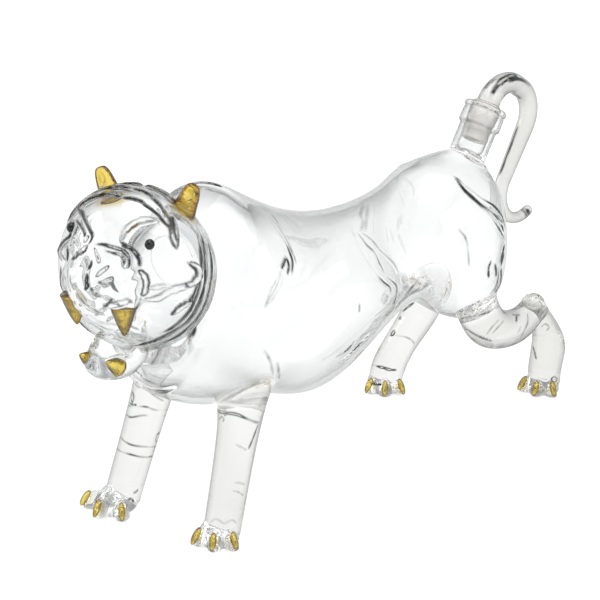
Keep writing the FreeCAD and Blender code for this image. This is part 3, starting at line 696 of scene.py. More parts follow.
def draw_out(grid, size, centre, blend):
    """Push a globe's skin out to an egg shape that bulges from it, with a soft fold between."""
    length = np.linalg.norm(grid, axis=-1)
    way = grid / length[..., None]
    a = ((way / size) ** 2).sum(-1)
    b = (way * centre / size ** 2).sum(-1)
    c = ((centre / size) ** 2).sum() - 1
    inside = b * b - a * c
    far = np.where((inside > 0) & (b > 0), (b + np.sqrt(np.maximum(inside, 0))) / a, 0)
    gain = np.maximum(blend - abs(far - length), 0) / blend
    return way * (np.maximum(far, length) + gain ** 2 * blend / 4)[..., None]


THROAT = 12.0
HEAD_WALL = 2.4
HEAD_ROWS, HEAD_COLUMNS = 220, 280
MUZZLE_SIZE = np.array([17.0, 15.4, 16.0])
MUZZLE_AT = np.array([0, -21.0, -1.0])
MUZZLE_FOLD = 7.0
LUMP = 0.3
skin = globe(HEAD_SIZE, HEAD_ROWS, HEAD_COLUMNS, np.pi - math.asin(THROAT / HEAD_SIZE[0]))
skin[..., 2] -= 5.5 * ramp(12, 26, skin[..., 1])
wall = HEAD_WALL * (1 - 0.75 * ramp(0.86, 1.0, np.linspace(0, 1, HEAD_ROWS)))
inner = (skin - outward(skin) * wall[:, None, None])[::3]
skin = draw_out(skin, MUZZLE_SIZE, MUZZLE_AT, MUZZLE_FOLD)
x, z = skin[..., 0], skin[..., 2]
lumps = np.sin(x * 0.6 + 1.3 * np.sin(z * 0.4)) * np.sin(z * 0.7 + 0.8 * np.sin(x * 0.5))
skin += outward(skin) * (LUMP * lumps * ramp(-20, -27, skin[..., 1]))[..., None]
print("head globe", skin.shape)

# %% [markdown]
# The fur round the face, the brows, whiskers and lips are tooled too. Their places are given in the
# head's own frame, with the second number counted forward. Crown and ruff are alike on both sides;
# the rest follows what the photograph shows of the left and the right half of the face.

# %% Head marks
BOTH_SIDES = marks("""
1.8 1.3 1.4: 0 1 36, 8 0.5 35, 14.5 1.8 32.9, 23 5.6 26.8, 28.7 10 17.8
1.8 1.3 1.4: 0 8.4 34.4, 8.7 6.4 34, 17.1 7 30.5, 23.7 8.2 25.1
1.8 1.2 1.2: 0 -7 34.5, 9 -7 33.5, 18 -5 30
1.3 0.9 1.7: 24 -9 22, 32.2 -3.2 15.6, 35.1 -0.9 8, 36 1.5 0.1, 34.6 4.3 -8.2, 31.1 7.6 -15.5,
    25.2 12.5 -20.4, 17.3 16 -24.6, 8 17 -28
1 0.8 1.5: 28 -4 21.5, 33 0.5 13, 35.3 2.6 6, 35.4 5 -1.5, 33 8.4 -9, 28.5 12.4 -15.5, 22 16 -19.5
1.1 0.9 1.5: 30 -9 16, 34 -5.5 8, 35.6 -3 0, 35 -0.5 -8, 32 3 -15.4, 26.5 8 -21.8, 19 12.6 -27
""")
ONE_SIDE = marks("""
1.3 1.2 0.95: 9.2 22.5 20.7, 9.7 19.6 24.7, 12.2 15.9 27.5, 15.2 12.9 28.4, 18.8 10.3 27.9
1.3 1.2 1.1: 18.6 3.4 30.6, 22.8 6 26.9, 26.2 9.7 21.6, 28.7 10.7 17.2
1.6 1.2 1.5: 32.2 8.7 11.9, 34.5 4.9 8.5, 35.1 5.1 5.1, 34.3 8.5 3, 32.4 12.4 3
1.3 1.2 2: 28.4 15.9 -9.9, 31.8 12.6 -6.4, 34.3 8 -4.7
1.5 0.7 0.8: 19.5 24.3 -2.2, 25.4 20.5 -1.4, 29.1 17 1.3, 32.5 12.4 2.2, 35.1 6.1 1.9
1 0.5 0.6: 22.2 22.7 3.1, 25.5 20.3 3.4, 28.2 17.7 4
0.5 0.6 1.6: 31 13.4 -8, 32.6 11.4 -5, 33.2 10.6 -6, 34.2 8.6 -2.8, 34 9 -4.2, 35 6.8 0.2, 35.3 5.6 3
0.6 1 2.4: 9.4 22.4 20.8, 11.4 22.6 19.6, 14.1 22.1 18.6, 16.3 22.1 16.7, 17.9 22.3 14.4, 18.3 23 12
1.2 1 1.8: 18 23.7 10.5, 20.1 23 9, 21.4 22.8 5.9, 21 23.5 1.6, 19.5 24.4 -0.1
0.6 0.8 1.3: -2.2 24.9 18.4, 2.4 24.6 18.8, 7.2 24.3 18.3, 10.6 23.7 17.8, 13.1 23.6 16.2,
    14.4 24.2 13.6, 14.4 25.2 10.3
0.5 0.6 0.95: 2.6 25.6 16.8, 7 25.3 16.2, 10.1 24.7 16, 11.9 24.7 14.7, 12.4 25.5 11.7, 11.9 26.6 8.9
0.8 0.6 0.7: 19.5 24.4 -0.1, 18.2 24.8 -4.3, 14.3 26.2 -7.7, 11.2 28.9 -9.8
0.35 0.8 2.6: -24.5 5.4 25.5, -22.4 9.4 25.7, -16.5 14.8 26.2, -10.6 19.6 24.3, -7.6 21.6 22.8,
    -5 23.4 20.8, -5.7 25 17.4
0.5 0.8 2.6: -27.3 8 21.3, -21.9 15.8 20.7, -18.8 20.1 17.9, -22.7 19.3 14.5, -26.7 17.5 10.4,
    -28.7 16.6 6.9, -22.4 22.1 6.5
0.6 0.6 2.4: -19.1 22.1 13.3, -17.9 23.7 10.6, -17.9 24.5 7.4
0.3 0.6 2: -18.8 16 23.4, -13 20 22.6, -9.7 22.3 20.9, -8.9 23.2 19.6
1.5 0.7 1.3: -5.7 25 17.4, -7.6 25.8 14.6, -10.7 26.1 11.4, -15.4 25.5 7.5
0.5 0.5 1.1: -23.3 21.9 3.5, -24 21.6 -0.2, -25.9 19.4 -6.6, -22.3 21.5 -9
0.35 0.5 2: -1.6 28.1 13.1, -0.4 30.3 11.7, -0.8 32.5 9.7
0.6 0.5 2: -0.2 33.4 8.4, 0.1 35 5.6, 0.9 35.6 4, -0.1 36.1 2.3
0.5 0.4 0.95: 2.4 35.6 3.6, 4.6 35.6 1.4, 7.2 34.9 0.3
0.6 0.4 0.8: 5.1 33.9 6.3, 7.8 33.4 5, 9.4 32.4 5
0.3 0.4 1.1: 7.3 34.4 -4.9, 9.9 33.5 -2, 11.4 32.4 -0.4
0.9 0.4 0.8: -4.8 35.7 0.5, -2.6 36.2 -2.3, 0.5 35.9 -5.2, 4.9 34.5 -7.1, 6.9 33.1 -8.5
1.4 0.5 0.7: 7.6 34.7 -2.7, 9.7 33.4 -3.4, 13.4 30.4 -2.7, 15.5 27.4 -1.9, 17.6 25.1 -3.6
""")
HEAD_DARK = 1.4
STAIN = 0.7
EAR_ROUND, EAR_UP = math.radians(120), math.radians(51)


def ear_root(side):
    """Where an ear stands on the globe: round from straight ahead, and up from level."""
    flat = math.cos(EAR_UP)
    way = (side * flat * math.sin(EAR_ROUND), -flat * math.cos(EAR_ROUND), math.sin(EAR_UP))
    return HEAD_SIZE * way


normals = outward(skin)
crease = np.zeros(skin.shape[:2])
mirrored = [([(-x, f, z) for x, f, z in path], sizes) for path, sizes in BOTH_SIDES]
# The tooled lines of the head get painted shade along their edges.
for path, (half, tall, dark) in BOTH_SIDES + mirrored + ONE_SIDE:
    mark(skin, normals, crease, [(x, -f, z) for x, f, z in path], half, tall, dark * HEAD_DARK, fine=FINE)
head = to_world(np.concatenate([skin, inner[::-1]]))
points, faces = closed(head)
roots = [np.linalg.norm(points - to_world(ear_root(side)), axis=1) for side in (1, -1)]
amber_near = ramp(10, 6, np.min(roots, axis=0)) * STAIN
throat = np.zeros(head.shape[:2])
throat[len(skin) - 5:len(skin) + 5] = 1.0
piece("head_and_muzzle", points, faces, clear_glass, ["head_shell", "muzzle"], "clear_glass", crease=crease,
      weld=throat, stain=amber_near)
head_skin = closed(to_world(globe(HEAD_SIZE, 60, 80)))
muzzle_skin = closed(to_world(globe(MUZZLE_SIZE, 60, 60, np.pi, MUZZLE_AT)))
head_host = Host(head_skin)

# %% [markdown]
# ## Face pieces
# The jaw is a scoop of clear glass below the muzzle: an egg shape whose top is pressed in and whose
# back lip rises to meet the head. Beads of black glass make the eyes.

# %% Jaw
JAW_SIZE = np.array([12, 16, 8.5])
JAW_AT = np.array([0, -17, -35])
bowl = globe(JAW_SIZE, 90, 90, np.pi, JAW_AT)
lip = np.clip((bowl[..., 2] - JAW_AT[2]) / JAW_SIZE[2], 0, 1)
reach = np.linalg.norm((bowl[..., :2] - JAW_AT[:2]) / JAW_SIZE[:2], axis=-1)
bowl[..., 2] -= ramp(0.85, 0.3, reach) * ramp(0, 0.4, lip) * 9.0
bowl[..., 2] += ramp(0.6, 0.95, reach) * ramp(0, 0.3, lip + 0.1) * ramp(-26, -12, bowl[..., 1]) * 4.0
jaw = weld(to_world(bowl), end=Host(head_skin, torso_skin), rows=80, flare=1.0)
piece("jaw_scoop", *closed(jaw), clear_glass, ["lower_jaw"], "clear_glass")
jaw_host = Host(closed(to_world(globe(JAW_SIZE, 60, 60, np.pi, JAW_AT))))

# %% Eyes
for word in ("left", "right"):
    low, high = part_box(f"{word}_eye")
    middle = np.array((low + high) / 2) / MM
    points, faces = closed(globe((2.0, 2.3, 2.3), 24, 32) @ TURN.T + middle)
    piece(f"{word}_eye_bead", points, faces, bead_glass, [f"{word}_eye"], "black_glass")

# %% [markdown]
# ## Amber glass
# Ears, fangs and claws are drops of amber rod, melted on while hot. Thin parts glow yellow and
# thick ones turn brown, which is why this glass has a depth colour as well as a surface one. An ear
# is a drop pressed flat, blunt at the top and dished in front.

# %% Ears
EAR_TALL = 12.0
EAR_LEAN = 24
for side, word in ((1, "left"), (-1, "right")):
    tab = globe((4.7, EAR_TALL, 3.7), 90, 60)
    tab = np.stack([tab[..., 0], tab[..., 2], -tab[..., 1]], -1)
    blunt = np.clip(1 - (tab[..., 2] / EAR_TALL) ** 2, 1e-5, 1) ** -0.22
    tab[..., :2] *= np.where(tab[..., 2] > 0, blunt, 1.0)[..., None]
    tab[..., 2] *= np.where(tab[..., 2] < 0, 0.4, 1.0)
    dish = ramp(4.0, 1.0, np.hypot(tab[..., 0], (tab[..., 2] - 7) * 0.7))
    tab[..., 1] += dish * np.where(tab[..., 1] < 0, 1.2, 0.0)
    s, c = math.sin(math.radians(EAR_LEAN * side)), math.cos(math.radians(EAR_LEAN * side))
    spin = np.array([[c, 0, s], [0, 1, 0], [-s, 0, c]])
    tab = weld(to_world(tab @ spin.T + ear_root(side)), end=head_host, rows=60, flare=1.4, reach=2.2)
    piece(f"{word}_ear_tab", *closed(tab), amber_glass, [f"{word}_ear"], "amber_glass")


# %% Fangs
def spike(root, way, length, thick):
    """A spike from its point back to its root."""
    way = np.array(way, float) / np.linalg.norm(way)
    aside = np.cross(way, (0, 0, 1) if abs(way[2]) < 0.9 else (1, 0, 0))
    aside /= np.linalg.norm(aside)
    other = np.cross(way, aside)
    t = np.linspace(0, 1, 60)[:, None, None]
    a = around(40)[None, :, None]
    size = thick * np.sqrt(np.clip(t, 0.0005, 1)) ** 1.35
    return np.array(root) + way * length * (1 - t) + size * (np.cos(a) * aside - np.sin(a) * other)


for side, word in ((1, "left"), (-1, "right")):
    upper = spike((side * 13, -27.5, -5), (-0.05 * side, 0.05, -1), 14.2, 5.8)
    upper = weld(to_world(upper), end=Host(muzzle_skin, head_skin), rows=40)
    piece(f"upper_{word}_fang", *closed(upper), amber_glass, [f"upper_{word}_canine"], "amber_glass")
    lower = spike((side * 7, -25, -35), (0.0, -0.82, 0.57), 9.8, 4.0)
    lower = weld(to_world(lower), end=jaw_host, rows=40)
    piece(f"lower_{word}_fang", *closed(lower), amber_glass, [f"lower_{word}_canine"], "amber_glass")

# %% [markdown]
# ## Legs and paws
# The legs are solid rod, flared where they are welded to the body, and each paw is the rod's end
# pressed into a gob with three pinched toes. Rod and gob are one run of glass, so no seam may show
# between them: the rod, the pad and the toes are laid into each other and a voxel remesh wraps
# them in one skin, which a little smoothing softens like hot glass.

# %% Rods
LEG_ROWS, LEG_COLUMNS = 240, 72


def right_way(grid):
    """Turn a grid's columns round if its faces look inward."""
    middle = grid.mean(1, keepdims=True)
    return grid if (outward(grid) * (grid - middle)).sum() > 0 else grid[:, ::-1]


def rod(rings):
    """A bent rod through a few rings, each with its place, radius and tilt."""
    grid = np.array([oval(x, y, z, r, r, tilt, LEG_COLUMNS) for x, y, z, r, tilt in rings])
    return right_way(spline(grid, LEG_ROWS))


def straight(foot, root, sizes):
    """A straight rod from foot to root, its rings square to the line between them."""
    foot, root = np.array(foot), np.array(root)
    way = (root - foot) / np.linalg.norm(root - foot)
    aside = np.cross((0, 1, 0), way)
    aside /= np.linalg.norm(aside)
    other = np.cross(way, aside)
    a = around(LEG_COLUMNS)[:, None]
    rings = [foot + (root - foot) * t + r * (np.cos(a) * aside + np.sin(a) * other) for t, r in sizes]
    return right_way(spline(np.array(rings), LEG_ROWS))


# %% [markdown]
# Each foot has its place, the turn of its toes, how far the paw is stretched forward, and the turn
# of its pad. The toes fan out from there, and the claws sit on their fronts.

# %% Wrapping a leg and its paw
FEET = {"front_left": (25.5, -95.0, 30, 1.5, 0), "front_right": (-31.0, -106.5, 8, 5.0, 8),
        "hind_left": (28.5, 136.5, 18, 1.0, 0), "hind_right": (-32.0, 77.5, 40, 1.0, 0)}
TOES = (-1, 0, 1)
TOE_FAN, TOE_REACH = 42, 7.6
TOE_SIZE = (3.6, 5.5, 7.8)
CLAW_REACH, CLAW_HEIGHT = 12.0, 4.5
FLOOR_GAP = 0.02
WRAP = (("REMESH", {"mode": "VOXEL", "voxel_size": 0.4}), ("SMOOTH", {"factor": 0.5, "iterations": 14}))


def toe_place(foot, toe, reach):
    """Where a toe or its claw stands, and the way it points."""
    x, y, turn, stretch = FEET[foot][:4]
    way = math.radians(turn + toe * TOE_FAN)
    reach += stretch
    return x + reach * math.sin(way), y - reach * math.cos(way), way


def spun(points, way):
    """Turn points about the upright axis."""
    s, c = math.sin(way), math.cos(way)
    return points @ np.array([[c, s, 0], [-s, c, 0], [0, 0, 1]])


def wrap(foot, leg):
    """One skin over a closed leg and the lumps of its paw."""
    x, y, _, stretch, pad_turn = FEET[foot]
    pad = spun(globe((9.4, 9.0 + stretch * 0.45, 11.3), 40, 48), math.radians(pad_turn))
    lumps = [closed(leg), closed(pad + np.array((x, y - 1.5 - stretch * 0.55, 0)))]
    for toe in TOES:
        tx, ty, way = toe_place(foot, toe, TOE_REACH)
        lumps.append(closed(spun(globe(TOE_SIZE, 40, 48), way) + np.array((tx, ty, 0))))
    points, faces = [], []
    for p, f in lumps:
        faces += [[v + sum(map(len, points)) for v in face] for face in f]
        points.append(p)
    points, normals, faces = shaped(mesh_of("lumps", np.vstack(points), [], faces), *WRAP)
    points[:, 2] = np.maximum(points[:, 2], FLOOR_GAP)
    return points, normals, faces


# %% [markdown]
# Shears, seams and trapped air leave thin lines on the rods, drawn here as low ridges with painted
# shade along them. They follow the photograph where it shows them. Each has a half width and how
# dark its painted shade is. A leg's painted rim shade is taken off where it melts into the torso and
# by a fifth low on its paw, painted shade darkens it a little where it lies inside the torso, and it
# takes a tint beside its claws.

# %% Lines on the rods
LINES = {
    "front_left": marks("""
0.9 1.5: 17 -88 58.6, 20.5 -91.5 60.2, 24.9 -92.4 61.2, 32 -90.1 61.6, 35.8 -82.5 56.7, 36.4 -78 55
0.3 0.6: 22.3 -92.1 65.1, 31.9 -89.8 67.8, 36.5 -79.7 64.5
0.3 1: 22.1 -92.4 56.5, 23.6 -92.5 58.5, 25.7 -92.7 58.5, 25 -92.9 56.7
0.3 0.7: 32.1 -91.9 47.7, 33.7 -90.1 46.4, 34.8 -87.5 44.3
0.4 1.8: 35.6 -81.2 55.6, 35.3 -84 49.8, 34.9 -86.9 44.4
0.3 0.7: 33 -93.8 29.9, 34.1 -91.4 29.2, 34.4 -88.9 27.7
0.3 0.8: 32.9 -94.6 26.1, 34.1 -92.1 24.7, 34.2 -89.5 22.2
0.3 0.6: 24.9 -102.7 9.3, 28.4 -101 12.6, 31.7 -99.2 11.1, 33.5 -96 12.1, 34.1 -93.5 9.3
"""),
    "front_right": marks("""
0.3 1.3: -24.5 -96.1 59.6, -20.4 -94.3 55.6, -18.4 -89.7 51.3
0.8 1.2: -33.1 -95 59.5, -29.2 -96.7 58.8, -26.3 -97 57.7
0.25 1.6: -31.3 -98.5 51.6, -31.3 -97.5 54.3, -29.2 -98.5 52.8, -29.5 -99.2 50.3, -31.3 -98.5 51.6
0.35 1.6: -31.9 -99 49, -28.8 -99.5 49.4, -26.3 -99.2 49.9
0.3 1.3: -34.5 -97 46.2, -31.2 -99.6 47.9, -22.7 -97.5 49.7, -19.8 -94.2 48, -20.1 -86.1 45.4,
    -22 -82 43.6
0.3 1.3: -35 -98 42, -31.7 -100.9 43.6, -28.4 -101.3 43.7, -22.3 -98.1 45.6, -20.2 -87.7 42.8,
    -22 -83.5 41
0.3 1.3: -34.6 -103 33, -31.2 -104.8 32.8, -25.4 -104.3 31.7, -21.4 -100.3 30.7, -21.3 -93.7 28.5,
    -23 -90 27
0.3 1.4: -35 -104.6 27.6, -31.6 -106.6 27.5, -24.6 -105.2 27.2, -21.7 -101.8 25.9, -21.4 -96 24.1,
    -23 -92 22.6
0.25 2.2: -21 -93.6 31, -20.7 -92.9 34.4, -20.6 -90.6 34.4, -21.2 -91 30.4, -21 -93.6 31
0.3 1.4: -20.4 -85.2 44.5, -20.9 -90.2 34, -21.6 -95 24
0.5 1.6: -22.4 -106.7 8.6, -22.2 -105.1 8.7, -22.1 -103.9 9.8
0.5 1.6: -23.1 -109.9 5.9, -22.7 -107.8 5.8, -22.5 -106.3 3.2
"""),
    "hind_left": marks("""
0.4 2: 34.8 124.7 49, 33.7 123 46.4, 31.3 123.2 43
0.8 2.2: 26 128.5 25.6, 27.8 127.9 22.9, 29.4 127.7 19.2
0.3 1: 32.8 125.7 39.4, 34.5 126.7 41.3, 35.6 128.8 39.3, 34.6 127.7 37.1
0.25 1.6: 37.2 136.6 7.2, 37.1 134 9.7, 36.5 132.3 8.3, 37.3 134 6.3, 37.2 136.6 7.2
"""),
    "hind_left_thigh": marks("""
0.6 2.4: 19.3 79 48.7, 22.6 78.5 48.8, 25.8 79.2 47.5, 30.2 81.6 45.6, 33.5 85.2 43.7
0.25 1.1: 31.7 81.9 48, 33.8 83.5 52.3, 34.9 87.3 55.7
0.25 1.1: 33.8 83.8 48.6, 35.4 86.3 51.9, 35.5 90.6 54.4
0.7 2.2: 32.9 100.4 53.9, 33.9 102.5 53, 34 105.3 52.8
0.5 2: 33.9 102.5 53, 35.5 101 52, 36.4 99.1 51.1
0.25 1.3: 35.2 110 52.4, 37.8 107.4 49.1, 38.8 103.5 45.6, 38.3 101 42.3
0.25 0.8: 37.9 101.8 48.6, 38.3 100.3 47.2, 38.4 98.2 46.1
0.5 2: 23.5 76.9 56.9, 30.6 80.3 59.6, 32.9 84.1 61.2
"""),
    "hind_right": marks("""
1 2.2: -28.1 82.5 39.6, -27 82.2 39.7, -25.8 82 39.8
0.3 2.4: -26.9 78.4 33.7, -28.4 78.2 32.9, -28.8 77.3 30.8, -27.2 77.4 31.5, -26.9 78.4 33.7
0.25 1: -26.1 77.6 31.5, -20.7 80.1 31.2, -18.6 82.6 29.2, -18.4 84.3 26.8
0.9 2.2: -37 71.8 12.8, -29.1 70.9 14.1, -25.8 72.6 13.4, -23.1 76.2 12.7
0.6 2: -32.4 65.4 5.8, -29.5 67.3 5.2, -23.9 69.1 6.1
0.6 1.8: -18.6 83.9 50.7, -23.3 84.1 46.5, -27 83.8 42.7
"""),
}
LINE_WIDTH, LINE_TALL, LINE_DARK = 0.6, 0.25, 0.8


def rod_lines(name, points, normals):
    """Draw a rod's lines into its points and hand back the shade painted at each point."""
    crease = np.zeros(points.shape[:-1])
    for path, (half, dark) in LINES[name]:
        mark(points, normals, crease, path, half * LINE_WIDTH, LINE_TALL, dark * LINE_DARK, 0.7, 0.38)
    return crease


def leg_and_paw(foot, leg, word, material, host=None, inside_shade=0.0):
    """Wrap a leg and its paw, draw their lines, hand the piece over, and give back its skin."""
    points, normals, faces = wrap(foot, leg)
    crease = rod_lines(foot, points, normals)
    # Low on the paw a fifth of the painted rim shade is taken off as well.
    joint = 0.2 * ramp(12, 8, points[:, 2])
    if host:
        depth = host.depth(points)
        # Painted shade where the leg lies inside the torso.
        crease = np.maximum(crease, inside_shade * ramp(0.2, 0.6, depth))
        joint = np.maximum(joint, ramp(*MELT, depth))
    claws = [(*toe_place(foot, toe, CLAW_REACH)[:2], CLAW_HEIGHT) for toe in TOES]
    near = np.min([np.linalg.norm(points - np.array(claw), axis=1) for claw in claws], axis=0)
    piece(f"{foot}_{word}_and_paw", points, faces, material, [f"{foot}_{word}", f"{foot}_paw"],
          "clear_glass", crease=crease, weld=joint, stain=STAIN * ramp(5, 2, near))
    return points, faces


# %% Front legs
LEG_SIZES = ((0.0, 8.5), (0.3, 8.8), (0.6, 9.8), (1.0, 13.0))
ANKLE = 3.0
for foot, x in (("front_left", 26.0), ("front_right", -26.0)):
    leg = straight((*FEET[foot][:2], ANKLE), (x, -75.5, 88.0), LEG_SIZES)
    leg = weld(leg, None, torso_host, rows=120, flare=1.6, reach=5.0)
    leg_and_paw(foot, leg, "leg", rod_glass, torso_host)

# %% [markdown]
# The hind legs are bent in the flame. The left one has two rods: an upright shank that narrows to
# its top, and a thigh that leaves the flank and is welded to the shank's side. The right one is a
# single rod, bent at the knee, with a little painted shade where it goes into the belly.

# %% Hind legs
shank = rod(((28.5, 136.8, 3.0, 8.6, 100), (28.5, 136.5, 8.0, 8.8, 100), (30, 136.5, 25, 9.0, 98),
             (29, 123, 51.5, 6.2, 122), (29, 119.5, 55.2, 3.6, 126), (29, 118.6, 56.2, 0.4, 128)))
shank_host = Host(leg_and_paw("hind_left", shank, "shank", bent_glass))
thigh = rod(((20, 83, 72, 10, -45), (26, 91.5, 48, 11.2, -26), (30, 107.5, 45, 8.8, 2),
             (29.5, 124.5, 51, 6.6, 20)))
thigh = weld(thigh, torso_host, shank_host, rows=110, flare=1.2)
crease = rod_lines("hind_left_thigh", thigh, outward(thigh))
points, faces = closed(thigh)
joint = np.maximum(ramp(*MELT, torso_host.depth(points)), ramp(-2, 0, shank_host.depth(points)))
piece("hind_left_thigh_rod", points, faces, bent_glass, ["hind_left_thigh"], "clear_glass", crease=crease,
      weld=joint)
haunch = rod(((-32, 76.5, 3.0, 8.8, 66), (-32, 78.0, 8, 9, 66), (-27, 85, 27, 8.8, 56),
              (-22.5, 93, 42, 9.8, 66), (-18.5, 93.5, 54, 10, 80), (-13, 92.5, 72, 9.5, 98)))
haunch = weld(haunch, None, torso_host, rows=110, flare=1.2)
leg_and_paw("hind_right", haunch, "leg", rod_glass, torso_host, inside_shade=0.1)

# %% [markdown]
# ## Claws
# Every toe carries one drop of amber. A small Geometry Nodes tree sets the same drop on each toe's
# point, and the result is kept as one plain mesh for the whole set on a paw.

# %% Claw tree
CLAW_SIZE = (1.6, 4.4, 1.7)
CLAW_DIP = math.radians(58)


def node_group(name, taken, made, *numbers):
    """A Geometry Nodes tree that takes one geometry and some numbers and makes another geometry."""
    tree = bpy.data.node_groups.new(name, "GeometryNodeTree")
    sockets = tree.interface
    sockets.new_socket(taken, in_out="INPUT", socket_type="NodeSocketGeometry")
    keys = [sockets.new_socket(word, in_out="INPUT", socket_type="NodeSocketFloat").identifier
            for word in numbers]
    sockets.new_socket(made, in_out="OUTPUT", socket_type="NodeSocketGeometry")
    return tree, add(tree, "NodeGroupInput").outputs, keys


points, faces = closed(globe(CLAW_SIZE, 18, 20))
points[:, 0] *= 1 - 0.3 * ramp(0, -CLAW_SIZE[1], points[:, 1])
mesh = mesh_of("claw_drop", points * MM, [], faces)
mesh.shade_smooth()
drop = put("claw_drop", mesh)
claws, given, (dip,) = node_group("claws_on_toes", "Toes", "Claws", "Dip")
shape = add(claws, "GeometryNodeObjectInfo", {"Object": drop})
way = add(claws, "GeometryNodeInputNamedAttribute", {"Name": "way"}, data_type="FLOAT")
turn = add(claws, "ShaderNodeCombineXYZ", {"X": given["Dip"], "Z": way.outputs[0]})
spread = add(claws, "GeometryNodeInstanceOnPoints",
             {"Points": given["Toes"], "Instance": shape.outputs["Geometry"], "Rotation": turn.outputs[0]})
real = add(claws, "GeometryNodeRealizeInstances", {"Geometry": spread.outputs[0]})
done = add(claws, "GeometryNodeSetMaterial", {"Geometry": real.outputs[0], "Material": amber_glass})
add(claws, "NodeGroupOutput", {0: done.outputs[0]})

# %% Claws on the paws
for foot in FEET:
    places = [toe_place(foot, toe, CLAW_REACH) for toe in TOES]
    toes = mesh_of("toes", [(x * MM, y * MM, CLAW_HEIGHT * MM) for x, y, way in places], [], [],
                   way=[way for x, y, way in places])
    points, normals, faces = shaped(toes, ("NODES", {"node_group": claws, dip: CLAW_DIP}))
    nodes = [f"{foot}_claw_{k}" for k in (1, 2, 3)]
    piece(f"{foot}_claws", points / MM, faces, amber_glass, nodes, "amber_glass")
bpy.data.objects.remove(drop)

# %% [markdown]
# ## Neck and stopper
# The neck is turned glass with a ground cone inside. The plug is ground to the same cone, which
# leaves both faces matt. Outlines are given as radius and height along the neck's axis.

# %% Neck
TIP_UP = np.array([[1, 0, 0], [0, math.cos(LEAN), math.sin(LEAN)], [0, -math.sin(LEAN), math.cos(LEAN)]])
GROOVES = (15.5, 23.7, 26.6)


def turned(outline):
    """Spin an outline of (radius, height) about the neck's axis."""
    line = np.array(outline, float)
    a = around(96)
    grid = np.stack([line[:, :1] * np.sin(-a), line[:, :1] * np.cos(-a), line[:, 1:] + 0 * a], -1)
    return grid @ TIP_UP.T + NECK


outer = [(9.8, -0.8), (9.6, 4), (9.6, 14.5), (9.9, 15.3), (10.7, 15.9), (10.9, 16.8), (10.7, 23.0),
         (10.4, 23.5), (10.4, 23.9), (11.0, 24.3), (11.1, 25.6), (10.7, 26.4), (10.0, 26.6), (8.7, 26.6),
         (8.1, 26.3)]
bore = [(7.97, 25.5), (7.5, 16), (7.0, 6.6), (7.1, 3), (7.3, -0.8)]
points, faces = looped(turned(outer + bore))
height = (points - NECK) @ TIP_UP[:, 2]
# Painted shade along the collar's three grooves.
grooves = np.max([np.exp(-((height - at) / 0.5) ** 2) for at in GROOVES], axis=0) * 0.5
piece("neck_collar", points, faces, neck_glass, ["neck_socket"], "clear_glass", weld=ramp(4, 0.5, height),
      crease=grooves)

# %% [markdown]
# The plug is ground over most of its cone. Near the socket's rim its glass is clear again, so the
# roughness fades out along the axis there.

# %% Plug
CONE_TOP, POLISHED = 21.8, 23.0
tree = ground_glass.node_tree
place = add(tree, "ShaderNodeTexCoord")
height = add(tree, "ShaderNodeVectorMath", {0: place.outputs["Object"], 1: TIP_UP[:, 2]},
             operation="DOT_PRODUCT")
base = float(NECK @ TIP_UP[:, 2])
matt = add(tree, "ShaderNodeMapRange",
           {"Value": height.outputs["Value"], "From Min": (base + CONE_TOP) * MM,
            "From Max": (base + POLISHED) * MM, "To Min": 0.42, "To Max": 0.03})
tree.links.new(matt.outputs[0], tree.nodes["Principled BSDF"].inputs["Roughness"])
cone = [(0.05, 8.1), (6.2, 8.1), (6.9, 8.3), (7.05, 8.9), (7.5, 17), (7.9, 26.2), (7.6, 27.0), (6.8, 28.2),
        (0.05, 28.2)]
piece("ground_plug", *closed(turned(cone)), ground_glass, ["stopper_plug"], "ground_glass", "stopper")

# %% [markdown]
# ## Tail
# The tail is a rod bent hot into a handle and fused to the plug. A Geometry Nodes tree draws a
# round section along its path, thinner towards the tip, and the last few places round the tip off.

# %% Tail tree
tail, given, (root, tip) = node_group("tail_rod_tree", "Path", "Rod", "Root radius", "Tip radius")
line = add(tail, "GeometryNodeMeshToCurve", {0: given["Path"]})
along = add(tail, "GeometryNodeSplineParameter")
taper = add(tail, "ShaderNodeMapRange", {"Value": along.outputs["Factor"], "To Min": given["Root radius"],
                                         "To Max": given["Tip radius"]})
ending = add(tail, "GeometryNodeInputNamedAttribute", {"Name": "ending"}, data_type="FLOAT")
girth = add(tail, "ShaderNodeMath", {0: taper.outputs[0], 1: ending.outputs[0]}, operation="MULTIPLY")
sized = add(tail, "GeometryNodeSetCurveRadius", {"Curve": line.outputs[0], "Radius": girth.outputs[0]})
circle = add(tail, "GeometryNodeCurvePrimitiveCircle", {"Resolution": 48, "Radius": 1.0})
tube = add(tail, "GeometryNodeCurveToMesh", {"Curve": sized.outputs[0], "Profile Curve": circle.outputs[0],
                                             "Fill Caps": True, "Scale": girth.outputs[0]})
coat = add(tail, "GeometryNodeSetMaterial", {"Geometry": tube.outputs[0], "Material": bent_glass})
add(tail, "NodeGroupOutput", {0: coat.outputs[0]})

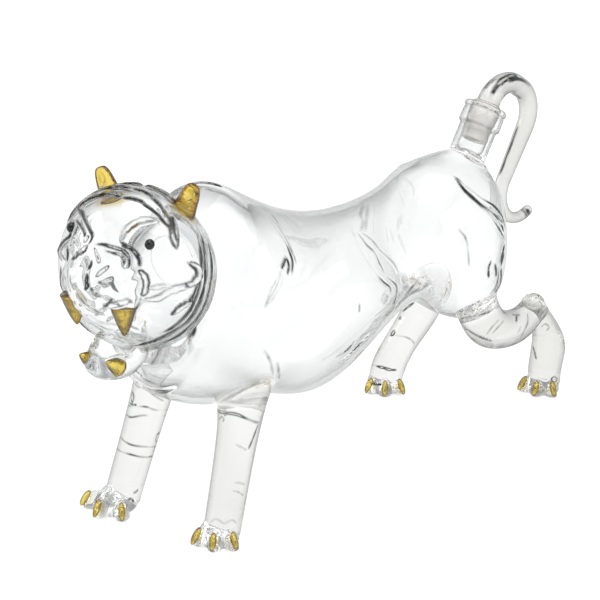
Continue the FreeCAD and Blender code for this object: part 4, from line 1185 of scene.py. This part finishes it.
# %% Tail
TAIL_ROOT, TAIL_TIP = 6.0, 2.69
TIP_ROWS = 12
SEAMS = ((56, 82, -0.15, 0.2, 2.2), (6, 26, 2.5, 1.0, 2.8), (16, 34, 2.1, 0.4, 2.4), (24, 36, 0.2, 0.5, 1.8))


def arc(centre, radius, start, end, count):
    """Places along an arc in the tail's plane."""
    a = np.radians(np.linspace(start, end, count))
    return [(0, centre[0] + radius * math.cos(t), centre[1] + radius * math.sin(t)) for t in a]


def on_tail(k, turn):
    """A point on the rod's skin at one place of its path, turned from the inside of the bend."""
    way = path[min(k + 1, len(path) - 1)] - path[k - 1]
    inside = np.cross(way / np.linalg.norm(way), (1, 0, 0))
    radius = (TAIL_ROOT + (TAIL_TIP - TAIL_ROOT) * k / len(path)) * ending[k]
    return path[k] + radius * (math.cos(turn) * inside + math.sin(turn) * np.array((1, 0, 0)))


path = [(0, 0, z) for z in np.linspace(27.4, 28.8, 4)]
path += arc((16, 28.8), 16, 178, 90, 26) + arc((20.5, 28.8), 16, 90, 0, 26)
path += [(0, 36.5, z) for z in np.linspace(27.8, 0.8, 24)]
path += arc((52.5, -0.2), 16, 180, 330, 44)
path = np.array(path)
way = (path[-1] - path[-2]) / np.linalg.norm(path[-1] - path[-2])
swing = np.radians(np.linspace(8, 86, TIP_ROWS))
path = np.vstack([path, path[-1] + TAIL_TIP * np.sin(swing)[:, None] * way]) @ TIP_UP.T + NECK
ending = np.concatenate([np.ones(len(path) - TIP_ROWS), np.cos(swing)])
wire = mesh_of("tail_path", path * MM, [(k, k + 1) for k in range(len(path) - 1)], [], ending=ending)
points, normals, faces = shaped(wire, ("NODES", {"node_group": tail, root: TAIL_ROOT * MM,
                                                 tip: TAIL_TIP * MM}))
points = points / MM
crease = np.zeros(len(points))
# Painted shade along the tail's seams and in a ring near its tip.
for first, last, turn, half, dark in SEAMS:
    mark(points, normals, crease, [on_tail(k, turn) for k in range(first, last, 3)], half, 0.2, dark)
tip_ring = [on_tail(len(path) - TIP_ROWS - 3, a) for a in np.linspace(-3, 3, 14)]
mark(points, normals, crease, tip_ring, 0.2, 0.02, 3.0, fine=0.75)
piece("tail_handle_rod", points, faces, bent_glass, ["tail_rod"], "clear_glass", "tail_handle", crease=crease)
